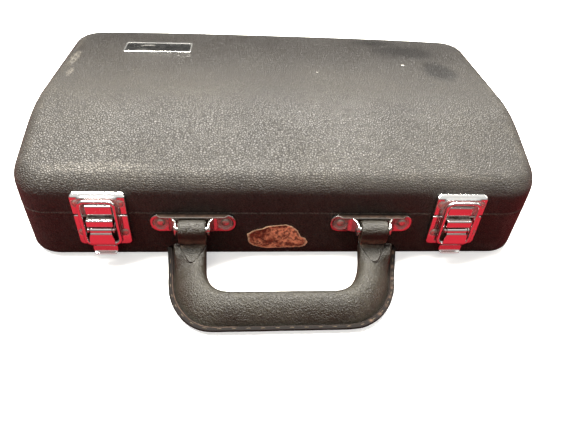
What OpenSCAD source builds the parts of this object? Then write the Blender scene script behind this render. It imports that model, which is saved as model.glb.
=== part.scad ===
// Hard-shell carrying case for a small woodwind instrument.
// Millimetres. +X to the right as seen from the handle side, +Y towards the
// hinges, +Z up. The origin is the centre of the flat underside.

/* [Case] */
// Overall width of the shells at the seam
case_w = 350; // [330:1:370]
// Overall depth of the shells at the seam
case_d = 199; // [190:1:210]
// Height of the seam between the two shells
seam_z = 38.9; // [36:0.1:42]
// Height of the lid above its front wall
front_h = 63; // [60:0.5:66]
// Height of the lid at the crease
crease_h = 88.7; // [84:0.1:92]
// Height of the lid at its rear wall
rear_h = 93.6; // [90:0.1:98]
// Distance of the crease behind the front wall
crease_y = 68.8; // [60:0.1:76]
// Half width of the soft blend at the crease
crease_blend = 18.7; // [8:0.1:22]
// Corner radius seen from above
corner_r = 23; // [20:0.5:26]
// Thickness of the moulded shells
wall = 3; // [2.5:0.1:3.2]
// Edge radius around the lid's sides and rear
lid_edge_r = 13.5; // [10:0.5:15]
// Edge radius along the lid's front
front_edge_r = 10.3; // [8:0.1:12]
// Edge radius around the underside
base_edge_r = 6.1; // [4.5:0.1:8]
// Drop of the lid's top at its two ends
crown = 2.4; // [0:0.1:4]

/* [Latches] */
// Distance of each latch from the middle
latch_x = 118; // [110:0.5:122]
// Width of the latch plates
latch_w = 34.2; // [30:0.2:38]
// How far the plates' faces stand off the wall
latch_t = 3.2; // [2.6:0.1:3.4]
// How far a lever swings out
lever_swing = 95; // [80:5:100]

/* [Handle] */
// Distance of each handle bracket from the middle
bracket_x = 59.8; // [56:0.1:62]
// Width of each bracket
bracket_w = 56; // [52:0.5:58]
// Half thickness of the padded grip
grip_b = 8; // [7:0.1:8]
// Width of each strap
strap_w = 17.6; // [16:0.1:18]

/* [Hinges] */
// Distance of each hinge from the middle
hinge_x = 104; // [90:1:120]
// Width of each hinge leaf
hinge_w = 42; // [36:1:50]

/* [Hidden] */
$fn = 48;

front_y = -case_d / 2;          // front wall at the seam
rear_y = case_d / 2;            // rear wall at the seam
lid_draft = 0.0052;             // inward lean of the lid's walls
base_draft = 0.015;             // inward lean of the base's walls
seam_gap = 0.3;                 // gap between the two rims

// pivots, as distance in front of the front wall and height
lever_py = 7;    lever_pz = 30;
bail_py = 6.9;   bail_pz = 18.8;  bail_top = 52.5;
rod_r = 1.3;
grip_py = 9.6;   grip_pz = 32.5;   handle_pin_r = 2;
hinge_ay = rear_y + 2.6;          // hinge axis behind the rear wall

// ---------------------------------------------------------------- shells
// height of the lid's top at a place
function lid_top(x, y) =
    let (q = y - front_y,
         s1 = (crease_h - front_h) / crease_y,
         s2 = (rear_h - crease_h) / (case_d - crease_y),
         e = max(q - (crease_y - crease_blend), 0),
         bend = e < 2 * crease_blend ? (s2 - s1) * e * e / (4 * crease_blend)
                                     : (s2 - s1) * (e - crease_blend))
    front_h + s1 * q + bend - crown * pow(min(abs(x) / (case_w / 2), 1), 3);

// rounded rectangle as [x, y, nx, ny], counter-clockwise from the front right
function outline(nx, ny, nc) =
    let (a = case_w / 2, b = case_d / 2, r = corner_r)
    [for (k = [0:3])
        let (cx = (k == 0 || k == 1) ? a - r : r - a,
             cy = (k == 1 || k == 2) ? b - r : r - b,
             n = (k % 2 == 0) ? ny : nx,
             w0 = 90 * k,
             ex = cx + r * cos(w0), ey = cy + r * sin(w0),
             k2 = (k + 1) % 4,
             fx = ((k2 == 0 || k2 == 1) ? a - r : r - a) + r * cos(w0),
             fy = ((k2 == 1 || k2 == 2) ? b - r : r - b) + r * sin(w0))
        each concat(
            [for (j = [0:nc]) let (w = w0 - 90 + 90 * j / nc)
                [cx + r * cos(w), cy + r * sin(w), cos(w), sin(w)]],
            [for (j = [1:n - 1]) [ex + (fx - ex) * j / n, ey + (fy - ey) * j / n, cos(w0), sin(w0)]])];

// closed skin over rings of equal length, ending in a fan at each end
module loft(rings, first, last) {
    n = len(rings[0]);
    m = len(rings);
    pts = concat([for (r = rings) each r], [first, last]);
    faces = concat(
        [for (i = [0:m - 2]) for (j = [0:n - 1])
            let (a = i * n + j, b = i * n + (j + 1) % n, c = a + n, d = b + n)
            each [[a, b, c], [b, d, c]]],
        [for (j = [0:n - 1]) [m * n, (j + 1) % n, j]],
        [for (j = [0:n - 1]) [m * n + 1, (m - 1) * n + j, (m - 1) * n + (j + 1) % n]]);
    polyhedron(points = pts, faces = faces, convexity = 6);
}

function spine_x() = (case_w - case_d) / 2;
// edge radius of the lid where the outline faces a given way
function edge_r(ny) = lid_edge_r + (front_edge_r - lid_edge_r) * pow(max(-ny, 0), 2);

// one ring of the lid: i is the inset, a the angle round the edge (0 wall, 90 top),
// t how far the ring has shrunk to the middle line, drop how far under the top it runs
function lid_ring(o, i, a, t, drop) = [for (p = o)
    let (r = max(edge_r(p[3]) - i, 1.5),
         g = i + r * (1 - cos(a)) + lid_draft * 30,
         x0 = p[0] - p[2] * g, y0 = p[1] - p[3] * g,
         sx = max(min(p[0], spine_x()), -spine_x()),
         x = x0 + (sx - x0) * t, y = y0 * (1 - t))
    [x, y, lid_top(x, y) - drop - r * (1 - sin(a))]];
function lid_wall(o, i, z) = [for (p = o)
    let (g = i + lid_draft * (z - seam_z)) [p[0] - p[2] * g, p[1] - p[3] * g, z]];

// cap between two insets, open below at height rim
module lid_cap(o, i0, i1, drop0, drop1, rim) {
    rings = concat(
        [for (t = [0.9, 0.72, 0.56, 0.42, 0.28, 0.14]) lid_ring(o, i0, 90, t, drop0)],
        [for (a = [90, 70, 50, 32, 15, 0]) lid_ring(o, i0, a, 0, drop0)],
        [lid_wall(o, i0, rim), lid_wall(o, i1, rim)],
        [for (a = [0, 30, 60, 90]) lid_ring(o, i1, a, 0, drop1)],
        [for (t = [0.14, 0.28, 0.42, 0.56, 0.72, 0.9]) lid_ring(o, i1, 90, t, drop1)]);
    loft(rings, [0, 0, lid_top(0, 0) - drop0], [0, 0, lid_top(0, 0) - drop1]);
}

// tray-shaped skin of the base between two insets
function base_ring(o, i, a, t) = [for (p = o)
    let (r = max(base_edge_r - i, 1.5),
         g = i + r * (1 - cos(a)) + base_draft * (seam_z - i - r * (1 - sin(a))),
         x0 = p[0] - p[2] * g, y0 = p[1] - p[3] * g,
         sx = max(min(p[0], spine_x()), -spine_x()))
    [x0 + (sx - x0) * t, y0 * (1 - t), i + r * (1 - sin(a))]];
function base_wall(o, i, z) = [for (p = o)
    let (g = i + base_draft * (seam_z - z)) [p[0] - p[2] * g, p[1] - p[3] * g, z]];

module drill(x, z, r, rear = false)
    translate([x, rear ? rear_y : front_y, z]) rotate([90, 0, 0]) cylinder(r = r, h = 12, center = true);

rivet_hole_r = 1.6;
latch_rivet_x = 13.4;
strike_rivet_z = 48.6;  plate_rivet_z = 25;
bracket_rivet_x = 21;   bracket_rivet_z = 32;
hinge_rivet_x = 13;     hinge_rivet_dz = 9.5;

module lower_shell() color([0.10, 0.085, 0.08]) difference() {
    o = outline(14, 8, 6);
    loft(concat(
            [base_ring(o, wall, 90, 0.85)],
            [for (a = [90, 45, 0]) base_ring(o, wall, a, 0)],
            [base_wall(o, wall, seam_z - seam_gap / 2), base_wall(o, 0, seam_z - seam_gap / 2)],
            [for (a = [0, 30, 60, 90]) base_ring(o, 0, a, 0)],
            [base_ring(o, 0, 90, 0.85)]),
        [0, 0, wall], [0, 0, 0]);
    for (s = [-1, 1], k = [-1, 1]) {
        drill(s * latch_x + k * latch_rivet_x, plate_rivet_z, rivet_hole_r);
        drill(s * bracket_x + k * bracket_rivet_x, bracket_rivet_z, rivet_hole_r);
        drill(s * hinge_x + k * hinge_rivet_x, seam_z - hinge_rivet_dz, rivet_hole_r, true);
    }
}

module upper_shell() color([0.13, 0.12, 0.11]) difference() {
    lid_cap(outline(14, 8, 6), 0, wall, 0, wall, seam_z + seam_gap / 2);
    for (s = [-1, 1], k = [-1, 1]) {
        drill(s * latch_x + k * latch_rivet_x, strike_rivet_z, rivet_hole_r);
        drill(s * hinge_x + k * hinge_rivet_x, seam_z + hinge_rivet_dz, rivet_hole_r, true);
    }
}

module flat_outline(i) {
    a = case_w / 2 - i;
    b = case_d / 2 - i;
    r = corner_r - i;
    union() {
        square([2 * (a - r), 2 * b], center = true);
        square([2 * a, 2 * (b - r)], center = true);
        for (sx = [-1, 1], sy = [-1, 1]) translate([sx * (a - r), sy * (b - r)]) circle(r = r);
    }
}

// lip inside the base that the lid closes over
module rim_strip() color([0.16, 0.15, 0.14]) {
    translate([0, 0, seam_z - 2.4]) linear_extrude(height = 2.25)
        difference() { flat_outline(wall + 0.25); flat_outline(wall + 2.3); }
    translate([0, 0, seam_z - 0.15]) linear_extrude(height = 5.2)
        difference() { flat_outline(wall + 0.9); flat_outline(wall + 2.3); }
}

// ---------------------------------------------------------------- inside
tray_top = 41;
module well(x0, x1, y, r) translate([x0, y, tray_top]) rotate([0, 90, 0]) cylinder(r = r, h = x1 - x0);

// plush-covered blocks with a well for each joint of the instrument
module tray_block(x0, x1, y0, y1) intersection() {
    union() {
        translate([0, 0, wall]) linear_extrude(height = 5) flat_outline(7.4);
        translate([0, 0, wall + 5]) linear_extrude(height = tray_top - wall - 5) flat_outline(wall + 2.6);
    }
    translate([x0, y0, 0]) cube([x1 - x0, y1 - y0, 60]);
}
module tray_lower_joint() color([0.30, 0.05, 0.08]) difference() {
    tray_block(-180, 89.9, -110, -46);
    well(-162, 86, -68, 19);
}
module tray_barrel() color([0.30, 0.05, 0.08]) difference() {
    tray_block(90.1, 180, -110, -46);
    well(94, 162, -68, 17);
}
module tray_upper_joint() color([0.30, 0.05, 0.08]) difference() {
    tray_block(-180, 65.9, -45.8, -4);
    well(-162, 62, -24, 17);
}
module tray_mouthpiece() color([0.30, 0.05, 0.08]) difference() {
    tray_block(66.1, 180, -45.8, -4);
    well(70, 162, -24, 16);
}
// bell, mouth to the left
module tray_bell_corner() color([0.30, 0.05, 0.08]) difference() {
    tray_block(-180, -43.2, -3.8, 110);
    translate([-162, 47, 47]) rotate([0, 90, 0]) cylinder(r1 = 40.5, r2 = 20, h = 112);
}
// two boxes for reeds, grease and swab
module tray_box_corner() color([0.30, 0.05, 0.08]) difference() {
    tray_block(-43, 180, -3.8, 110);
    translate([-38, 5, 9]) cube([96, 82, 40]);
    translate([66, 5, 9]) cube([96, 82, 40]);
}

module lid_lining() color([0.30, 0.05, 0.08])
    lid_cap(outline(14, 8, 6), 4.6, 7.6, 3.5, 6.5, 46);

// ---------------------------------------------------------------- fasteners
// domed rivet: head, shank and clinched tail, along -Y from the wall at [x, z]
module rivet(x, z, face, side = -1, hr = 2.9)
    translate([x, side * case_d / 2, z]) rotate([side * 90, 0, 0]) translate([0, 0, -6]) {
        // local +Z now points into the case
        rotate([0, 0, 0]) rotate_extrude()
            polygon([[0, 6 - face - 1.3], [hr * 0.55, 6 - face - 1.1], [hr * 0.88, 6 - face - 0.6], [hr, 6 - face],
                     [1.5, 6 - face], [1.5, 6 + wall + 0.32], [2.6, 6 + wall + 0.32], [2.4, 6 + wall + 1.1], [0, 6 + wall + 1.1]]);
    }

module hinge_rivets_base() color([0.75, 0.74, 0.72])
    for (s = [-1, 1], k = [-1, 1]) rivet(s * hinge_x + k * hinge_rivet_x, seam_z - hinge_rivet_dz, 1.35, 1);
module hinge_rivets_lid() color([0.75, 0.74, 0.72])
    for (s = [-1, 1], k = [-1, 1]) rivet(s * hinge_x + k * hinge_rivet_x, seam_z + hinge_rivet_dz, 1.35, 1);
module strike_rivets() color([0.75, 0.74, 0.72])
    for (s = [-1, 1], k = [-1, 1]) rivet(s * latch_x + k * latch_rivet_x, strike_rivet_z, latch_t, -1, 2.3);
module latch_rivets() color([0.75, 0.74, 0.72])
    for (s = [-1, 1], k = [-1, 1]) rivet(s * latch_x + k * latch_rivet_x, plate_rivet_z, latch_t, -1, 2.3);
module bracket_rivets() color([0.75, 0.74, 0.72])
    for (s = [-1, 1], k = [-1, 1]) rivet(s * bracket_x + k * bracket_rivet_x, bracket_rivet_z, 2.2, -1, 3.1);

// ---------------------------------------------------------------- hinges
knuckle_r = 2.2;
leaf_t = 1.2;
leaf_gap = 0.15;
knuckles = 5;
pitch = hinge_w / 5;

// dir -1 is the base's leaf, +1 the lid's
module hinge_leaf(s, dir) color([0.72, 0.71, 0.69]) translate([s * hinge_x, 0, seam_z]) difference() {
    union() {
        translate([-hinge_w / 2, rear_y + leaf_gap, dir > 0 ? 2.25 : -16.5]) cube([hinge_w, leaf_t, 14.25]);
        for (k = [0:knuckles - 1]) if ((k % 2 == 0) == (dir < 0))
            translate([-hinge_w / 2 + k * pitch + 0.12, 0, 0]) {
                translate([0, hinge_ay, 0]) rotate([0, 90, 0]) cylinder(r = knuckle_r, h = pitch - 0.24);
                translate([0, rear_y + leaf_gap, dir > 0 ? 0.3 : -2.75]) cube([pitch - 0.24, leaf_t, 2.45]);
            }
    }
    translate([0, hinge_ay, 0]) rotate([0, 90, 0]) cylinder(r = dir < 0 ? 1.02 : 1.06, h = hinge_w + 2, center = true);
    for (k = [-1, 1]) translate([k * hinge_rivet_x, rear_y, dir * hinge_rivet_dz]) rotate([90, 0, 0])
        cylinder(r = rivet_hole_r, h = 8, center = true);
}
module hinge_left_base_leaf() hinge_leaf(-1, -1);
module hinge_left_lid_leaf() hinge_leaf(-1, 1);
module hinge_right_base_leaf() hinge_leaf(1, -1);
module hinge_right_lid_leaf() hinge_leaf(1, 1);
module hinge_pin(s) color([0.6, 0.6, 0.6]) translate([s * hinge_x, hinge_ay, seam_z]) rotate([0, 90, 0])
    rotate_extrude() polygon([[0, -hinge_w / 2 - 1.1], [1.5, -hinge_w / 2 - 0.9], [1.7, -hinge_w / 2 - 0.1], [1, -hinge_w / 2 - 0.1],
                              [1, hinge_w / 2 + 0.5], [0, hinge_w / 2 + 0.7]]);
module hinge_left_pin() hinge_pin(-1);
module hinge_right_pin() hinge_pin(1);

// ---------------------------------------------------------------- latches
// 2D x is the distance in front of the wall, 2D y the height
module side(w) rotate([90, 0, -90]) linear_extrude(height = w, center = true) children();
module at_latch(s) translate([s * latch_x, front_y, 0]) children();
// rounded rectangle in the plane of the wall, standing from y0 to y1 in front of it
module slab(w, z0, z1, r, y0, y1) translate([0, -y0, (z0 + z1) / 2]) rotate([90, 0, 0]) linear_extrude(height = y1 - y0) union() {
    square([w - 2 * r, z1 - z0], center = true);
    square([w, z1 - z0 - 2 * r], center = true);
    for (a = [-1, 1], b = [-1, 1]) translate([a * (w / 2 - r), b * ((z1 - z0) / 2 - r)]) circle(r = r);
}
module latch_holes(z) for (k = [-1, 1]) translate([k * latch_rivet_x, 0, z]) rotate([90, 0, 0])
    cylinder(r = rivet_hole_r, h = 12, center = true);

// pressed plate on the lid, with a bevelled top edge and a folded hook
module latch_strike(s) color([0.78, 0.77, 0.76]) at_latch(s) difference() {
    union() {
        intersection() {
            side(latch_w + 2) polygon([[0.1, 39.6], [latch_t, 39.6], [latch_t, 53.2], [0.8, 55.4], [0.1, 55.4]]);
            slab(latch_w, 36.2, 55.6, 2, 0, 5);
        }
        // hook
        side(16.2) polygon([[latch_t - 0.6, 39.8], [5.0, 40.6], [5.2, 41.4], [5.2, 47.3], [4.8, 47.8], [4.2, 47.6],
                            [4.1, 42.2], [latch_t - 0.6, 42.0]]);
    }
    slab(latch_w - 2.2, 40.7, 52.2, 1, -1, latch_t - 0.9);
    latch_holes(strike_rivet_z);
}
module latch_left_strike() latch_strike(-1);
module latch_right_strike() latch_strike(1);

// pressed plate on the base, with a folded bridge at its top and two ears for the lever's pin
module latch_plate(s) color([0.78, 0.77, 0.76]) at_latch(s) difference() {
    union() {
        slab(latch_w, 14.3, 38.9, 3.2, 0.1, latch_t);
        side(16.6) polygon([[latch_t - 0.6, 38.7], [7.5, 38.6], [8.4, 37.8], [8.4, 33.4], [8.1, 33.1], [7.5, 33.4],
                            [7.4, 37.0], [latch_t - 0.6, 37.3]]);
        for (k = [-1, 1]) translate([k * 8, 0, 0])
            side(0.9) union() {
                polygon([[latch_t - 0.5, 26], [lever_py, lever_pz - 1.9], [lever_py, lever_pz + 1.9], [latch_t - 0.5, 33.5]]);
                translate([lever_py, lever_pz]) circle(r = 1.9);
            }
    }
    slab(latch_w - 2.2, 15.5, 37.7, 2.1, -1, latch_t - 0.9);
    latch_holes(plate_rivet_z);
    translate([0, -lever_py, lever_pz]) rotate([0, 90, 0]) cylinder(r = 0.92, h = 30, center = true);
}
module latch_left_plate() latch_plate(-1);
module latch_right_plate() latch_plate(1);

module latch_pin(s) color([0.7, 0.7, 0.7]) at_latch(s) translate([0, -lever_py, lever_pz]) rotate([0, 90, 0])
    cylinder(r = 0.9, h = 18.1, center = true);
module latch_left_pin() latch_pin(-1);
module latch_right_pin() latch_pin(1);

// over-centre lever: roll on the pin, tongue that holds the bail, step back and curled thumb tab
module latch_lever(s) color([0.80, 0.79, 0.78]) at_latch(s) difference() {
    union() {
        side(13.8) union() {
            translate([lever_py, lever_pz]) circle(r = 2.1);
            polygon([[lever_py, lever_pz], [9.05, 30.4], [9.75, 27.6], [9.9, 25], [8.9, 25], [8.8, 27.4], [7.6, 28.6]]);
        }
        side(15.4) union() {
            polygon([[9.6, 26.6], [9.9, 26], [10.2, 20.8], [9.9, 19.6], [7.6, 17.6], [7.0, 16.6], [6.9, 12.6], [7.3, 11.8], [9.0, 10.9],
                     [9.3, 10.4], [9.0, 9.9], [8.5, 9.9], [6.5, 10.9], [5.95, 12.0], [6.0, 17.0], [8.0, 20.0], [9.2, 21.2], [8.85, 26.6]]);
            translate([bail_py, bail_pz]) circle(r = 2.25);
            polygon([[bail_py, bail_pz - 2.2], [9.4, 19.4], [9.4, 21.05], [bail_py, bail_pz + 2.2]]);
        }
    }
    translate([0, -lever_py, lever_pz]) rotate([0, 90, 0]) cylinder(r = 0.96, h = 30, center = true);
    translate([0, -bail_py, bail_pz]) rotate([0, 90, 0]) cylinder(r = rod_r + 0.06, h = 30, center = true);
}
module latch_left_lever() latch_lever(-1);
module latch_right_lever() latch_lever(1);

// closed ring of round bar
module bar_x(z, r, w) translate([0, 0, z]) rotate([0, 90, 0]) cylinder(r = r, h = w, center = true);
module latch_bail(s) color([0.82, 0.81, 0.80]) at_latch(s) translate([0, -bail_py, 0]) union() {
    hw = 10.95;
    rt = 4.4;
    rb = 3.4;
    bar_x(bail_pz, rod_r, 2 * (hw - rb));
    bar_x(bail_top, rod_r, 2 * (hw - rt));
    for (k = [-1, 1]) {
        translate([k * hw, 0, bail_pz + rb]) cylinder(r = rod_r, h = bail_top - rt - bail_pz - rb);
        translate([k * (hw - rt), 0, bail_top - rt]) rotate([90, 0, 0])
            rotate([0, 0, k > 0 ? 0 : 90]) rotate_extrude(angle = 90) translate([rt, 0]) circle(r = rod_r);
        translate([k * (hw - rb), 0, bail_pz + rb]) rotate([90, 0, 0])
            rotate([0, 0, k > 0 ? 270 : 180]) rotate_extrude(angle = 90) translate([rb, 0]) circle(r = rod_r);
    }
}
module latch_left_bail() latch_bail(-1);
module latch_right_bail() latch_bail(1);

// ---------------------------------------------------------------- handle
module at_bracket(s) translate([s * bracket_x, front_y, 0]) children();

// dished plate with rounded lobes, cut away in the middle, and two ears for the pin
module handle_bracket(s) color([0.78, 0.77, 0.76]) at_bracket(s) difference() {
    union() {
        slab(bracket_w, 24.6, 38.6, 6.2, 0.1, 2.2);
        // strip along the top
        side(bracket_w - 14) polygon([[0.1, 37.2], [4.2, 37.8], [4.6, 38.3], [4.2, 38.6], [0.1, 38.6]]);
        for (k = [-1, 1]) translate([k * 10.3, 0, 0]) side(1.3) union() {
            polygon([[0.4, 27.4], [grip_py - 1, grip_pz - 3.0], [grip_py + 2, grip_pz + 2.2], [4.2, 38.2], [0.4, 38.2]]);
            translate([grip_py, grip_pz]) circle(r = 3.1);
        }
    }
    // window behind the strap
    slab(19.2, 27.8, 36.4, 2, -1, 6);
    for (k = [-1, 1]) translate([k * bracket_rivet_x, 0, bracket_rivet_z]) rotate([90, 0, 0])
        cylinder(r = rivet_hole_r, h = 12, center = true);
    translate([0, -grip_py, grip_pz]) rotate([0, 90, 0]) cylinder(r = handle_pin_r + 0.02, h = 40, center = true);
}
module handle_left_bracket() handle_bracket(-1);
module handle_right_bracket() handle_bracket(1);

module handle_pin(s) color([0.7, 0.7, 0.7]) at_bracket(s) translate([0, -grip_py, grip_pz]) rotate([0, 90, 0])
    rotate_extrude() polygon([[0, -12], [1.6, -12], [2, -11.4], [2, 11.4], [1.6, 12], [0, 12]]);
module handle_left_pin() handle_pin(-1);
module handle_right_pin() handle_pin(1);

// strap: loop round the pin, down the front and into the leg of the grip
module handle_strap(s) color([0.22, 0.21, 0.18]) at_bracket(s) difference() {
    union() {
        side(strap_w) translate([grip_py, grip_pz]) circle(r = 6.1);
        side(strap_w) polygon([[grip_py - 4.9, grip_pz - 3.4], [grip_py, grip_pz], [grip_py + 6.1, grip_pz], [15.1, 28.8], [13.6, 25.6], [12, 22],
                               [14.4, 19.6], [18.6, 17.2], [18.2, 13.4], [14, 13.6], [10, 15.2], [6.8, 18.8], [5.6, 23], [5, 28.5]]);
    }
    translate([0, -grip_py, grip_pz]) rotate([0, 90, 0]) cylinder(r = handle_pin_r + 0.06, h = 40, center = true);
}
module handle_left_strap() handle_strap(-1);
module handle_right_strap() handle_strap(1);

// the grip lies in a plane; x sideways, v in front of the wall
function bez(a, b, c, d, t) = a * pow(1 - t, 3) + 3 * b * pow(1 - t, 2) * t + 3 * c * (1 - t) * t * t + d * pow(t, 3);
steps = 8;
function outer_half() = concat(
    [[78.9, 8.5], [78.0, 14], [76.8, 20]],
    [for (i = [0:steps]) bez([75.9, 25], [73.8, 42], [65, 68.4], [40, 68.8], i / steps)],
    [[28, 68.9], [14, 68.9]]);
function inner_half() = concat(
    [[52.6, 8.5], [52, 13], [51.6, 18]],
    [for (i = [0:steps]) bez([51.2, 23], [50.4, 37], [45.5, 45.4], [33, 45.4], i / steps)],
    [[22, 45.4], [11, 45.4]]);
function mirror_path(p) = [for (i = [len(p) - 1:-1:0]) [-p[i][0], p[i][1]]];
function whole(p, mid) = concat(p, [mid], mirror_path(p));
// share of the width, share of the half thickness: padded body with its crown near the inner edge, and a
// stitched flange low down on the outer edge
section = [[0, 0], [0.03, -0.36], [0.12, -0.72], [0.3, -0.96], [0.6, -0.97], [0.84, -0.84], [1, -0.8],
    [1, -0.56], [0.86, -0.56], [0.83, -0.5], [0.78, -0.22], [0.72, 0.08], [0.64, 0.38], [0.54, 0.64], [0.43, 0.84],
    [0.32, 0.97], [0.22, 1], [0.13, 0.88], [0.06, 0.62], [0.02, 0.3]];
// the legs rise towards the case over the last stretch
function rise(v) = max(26 - v, 0);
function grip_z(v) = 10.4 - 2.1 * (v - 10.5) / 62 + 0.022 * rise(v) * rise(v);
function grip_tilt(v) = atan(0.044 * rise(v));
// stretch of the padded section between two shares of the width, and a factor on its thickness
function grip_ring(a, b, prof, b0) = [for (q = prof)
    let (x = a[0] + (b[0] - a[0]) * q[0], v = a[1] + (b[1] - a[1]) * q[0], h = q[1] * b0)
    [x, front_y - v - h * sin(grip_tilt(v)), grip_z(v) + h * cos(grip_tilt(v))]];
module sweep(inner, outer, prof, b0) {
    rings = [for (i = [0:len(inner) - 1]) grip_ring(inner[i], outer[i], prof, b0)];
    n = len(prof);
    m = len(rings);
    polyhedron(points = [for (r = rings) each r], convexity = 6, faces = concat(
        [[for (j = [0:n - 1]) j]], [[for (j = [n - 1:-1:0]) (m - 1) * n + j]],
        [for (i = [0:m - 2]) for (j = [0:n - 1])
            let (a = i * n + j, b = i * n + (j + 1) % n, c = a + n, d = b + n)
            each [[a, c, b], [b, c, d]]]));
}
// flat steel bow inside the padding
core_prof = [[0.40, -0.2], [0.62, -0.2], [0.62, 0.2], [0.40, 0.2]];
room_prof = [[0.38, -0.24], [0.64, -0.24], [0.64, 0.24], [0.38, 0.24]];
function inner_path() = whole(inner_half(), [0, 45.4]);
function outer_path() = whole(outer_half(), [0, 68.9]);
function cut_ends(p, k) = [for (i = [k:len(p) - 1 - k]) p[i]];

module handle_grip() color([0.24, 0.23, 0.20]) difference() {
    sweep(inner_path(), outer_path(), section, grip_b);
    sweep(cut_ends(inner_path(), 3), cut_ends(outer_path(), 3), room_prof, grip_b);
    for (s = [-1, 1]) at_bracket(s) side(strap_w + 0.4) polygon([[4.4, 24.5], [5.2, 22.8], [6.4, 18.4], [9.7, 14.8], [13.9, 13.2],
        [18.6, 13], [19, 17.5], [14.6, 20], [12.4, 22.2], [13, 24.5]]);
}
module handle_core() color([0.5, 0.5, 0.5])
    sweep(cut_ends(inner_path(), 3), cut_ends(outer_path(), 3), core_prof, grip_b);

// ---------------------------------------------------------------- plates and paper
// blank plate on the lid, following its slope
module name_plate() color([0.75, 0.74, 0.70]) translate([-98.1, 54.5, lid_top(-98.1, 54.5) + 0.12]) rotate([2.14, -0.75, 0])
    linear_extrude(height = 0.8) union() {
        square([54.8 - 3, 19.4], center = true);
        square([54.8, 19.4 - 3], center = true);
        for (a = [-1, 1], b = [-1, 1]) translate([a * 25.9, b * 8.2]) circle(r = 1.5);
    }

// torn paper label on the front wall
module paper_label() color([0.45, 0.25, 0.16]) translate([0, front_y - 0.05, 0]) rotate([90, 0, 0])
    linear_extrude(height = 0.25)
    polygon([[-24.5, 20.5], [-20.5, 23.5], [-14, 25.5], [-10.5, 27.5], [-3, 28.5], [2.5, 29], [7, 27], [10.5, 23.5],
             [13, 17.8], [16, 16.8], [18, 12.8], [16.5, 9.6], [13, 8.2], [1.5, 7.8], [-10, 7.2], [-15.5, 8.2], [-20, 9.8], [-23.5, 12.8]]);

lower_shell();
upper_shell();
rim_strip();
tray_lower_joint();
tray_barrel();
tray_upper_joint();
tray_mouthpiece();
tray_bell_corner();
tray_box_corner();
lid_lining();
hinge_left_base_leaf();
hinge_left_lid_leaf();
hinge_left_pin();
hinge_right_base_leaf();
hinge_right_lid_leaf();
hinge_right_pin();
hinge_rivets_base();
hinge_rivets_lid();
latch_left_strike();
latch_left_plate();
latch_left_lever();
latch_left_bail();
latch_left_pin();
latch_right_strike();
latch_right_plate();
latch_right_lever();
latch_right_bail();
latch_right_pin();
strike_rivets();
latch_rivets();
handle_left_bracket();
handle_left_pin();
handle_left_strap();
handle_right_bracket();
handle_right_pin();
handle_right_strap();
bracket_rivets();
handle_grip();
handle_core();
name_plate();
paper_label();
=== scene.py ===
"""Looks of a hard-shell instrument case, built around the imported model. Lengths are in millimetres until a mesh is made."""

import math

import bmesh
import bpy
import numpy as np
from mathutils import Matrix, Vector, noise


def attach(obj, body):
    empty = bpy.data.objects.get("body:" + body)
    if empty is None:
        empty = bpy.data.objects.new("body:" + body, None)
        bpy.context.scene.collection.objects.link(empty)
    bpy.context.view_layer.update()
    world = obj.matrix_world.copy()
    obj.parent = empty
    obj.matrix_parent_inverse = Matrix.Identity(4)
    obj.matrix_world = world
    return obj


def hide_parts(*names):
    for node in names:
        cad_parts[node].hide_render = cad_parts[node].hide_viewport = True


MM = 0.001
FRONT, REAR, SEAM = -99.5, 99.5, 38.9
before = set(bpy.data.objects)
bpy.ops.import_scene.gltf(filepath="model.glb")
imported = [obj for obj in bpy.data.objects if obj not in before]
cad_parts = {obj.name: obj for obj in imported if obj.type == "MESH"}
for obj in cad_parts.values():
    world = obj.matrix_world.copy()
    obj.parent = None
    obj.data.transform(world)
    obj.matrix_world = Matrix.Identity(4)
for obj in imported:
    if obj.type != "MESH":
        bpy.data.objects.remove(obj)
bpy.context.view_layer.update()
scene = bpy.context.scene


# ------------------------------------------------------------------ meshes
def mesh_object(name, verts, faces, sharp=None, attrs=None, merge=0.0):
    me = bpy.data.meshes.new(name)
    me.from_pydata([(float(v[0]) * MM, float(v[1]) * MM, float(v[2]) * MM) for v in verts], [], [tuple(int(i) for i in f) for f in faces])
    for key, values in (attrs or {}).items():
        layer = me.attributes.new(key, "FLOAT", "POINT")
        layer.data.foreach_set("value", np.asarray(values, np.float32))
    bm = bmesh.new()
    bm.from_mesh(me)
    if merge:
        bmesh.ops.remove_doubles(bm, verts=bm.verts, dist=merge * MM)
    bmesh.ops.dissolve_degenerate(bm, edges=bm.edges, dist=1e-8)
    bmesh.ops.recalc_face_normals(bm, faces=bm.faces)
    bm.to_mesh(me)
    bm.free()
    me.shade_smooth()
    if sharp:
        me.set_sharp_from_angle(angle=math.radians(sharp))
    ob = bpy.data.objects.new(name, me)
    scene.collection.objects.link(ob)
    return ob


def grid_faces(m, n, wrap_n=True, wrap_m=False, start=0):
    """quads over m rings of n points"""
    faces = []
    for i in range(m if wrap_m else m - 1):
        for j in range(n if wrap_n else n - 1):
            a, b = start + i * n + j, start + i * n + (j + 1) % n
            c, d = start + ((i + 1) % m) * n + j, start + ((i + 1) % m) * n + (j + 1) % n
            faces.append((a, b, d, c))
    return faces


def rings_object(name, rings, caps=(True, True), sharp=None, attrs=None, merge=0.0):
    n = len(rings[0])
    verts = [p for r in rings for p in r]
    faces = grid_faces(len(rings), n)
    if caps[0]:
        faces.append(tuple(range(n)))
    if caps[1]:
        faces.append(tuple(range((len(rings) - 1) * n, len(rings) * n)))
    flat = {k: [x for r in v for x in r] for k, v in (attrs or {}).items()}
    return mesh_object(name, verts, faces, sharp, flat, merge)


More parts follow.
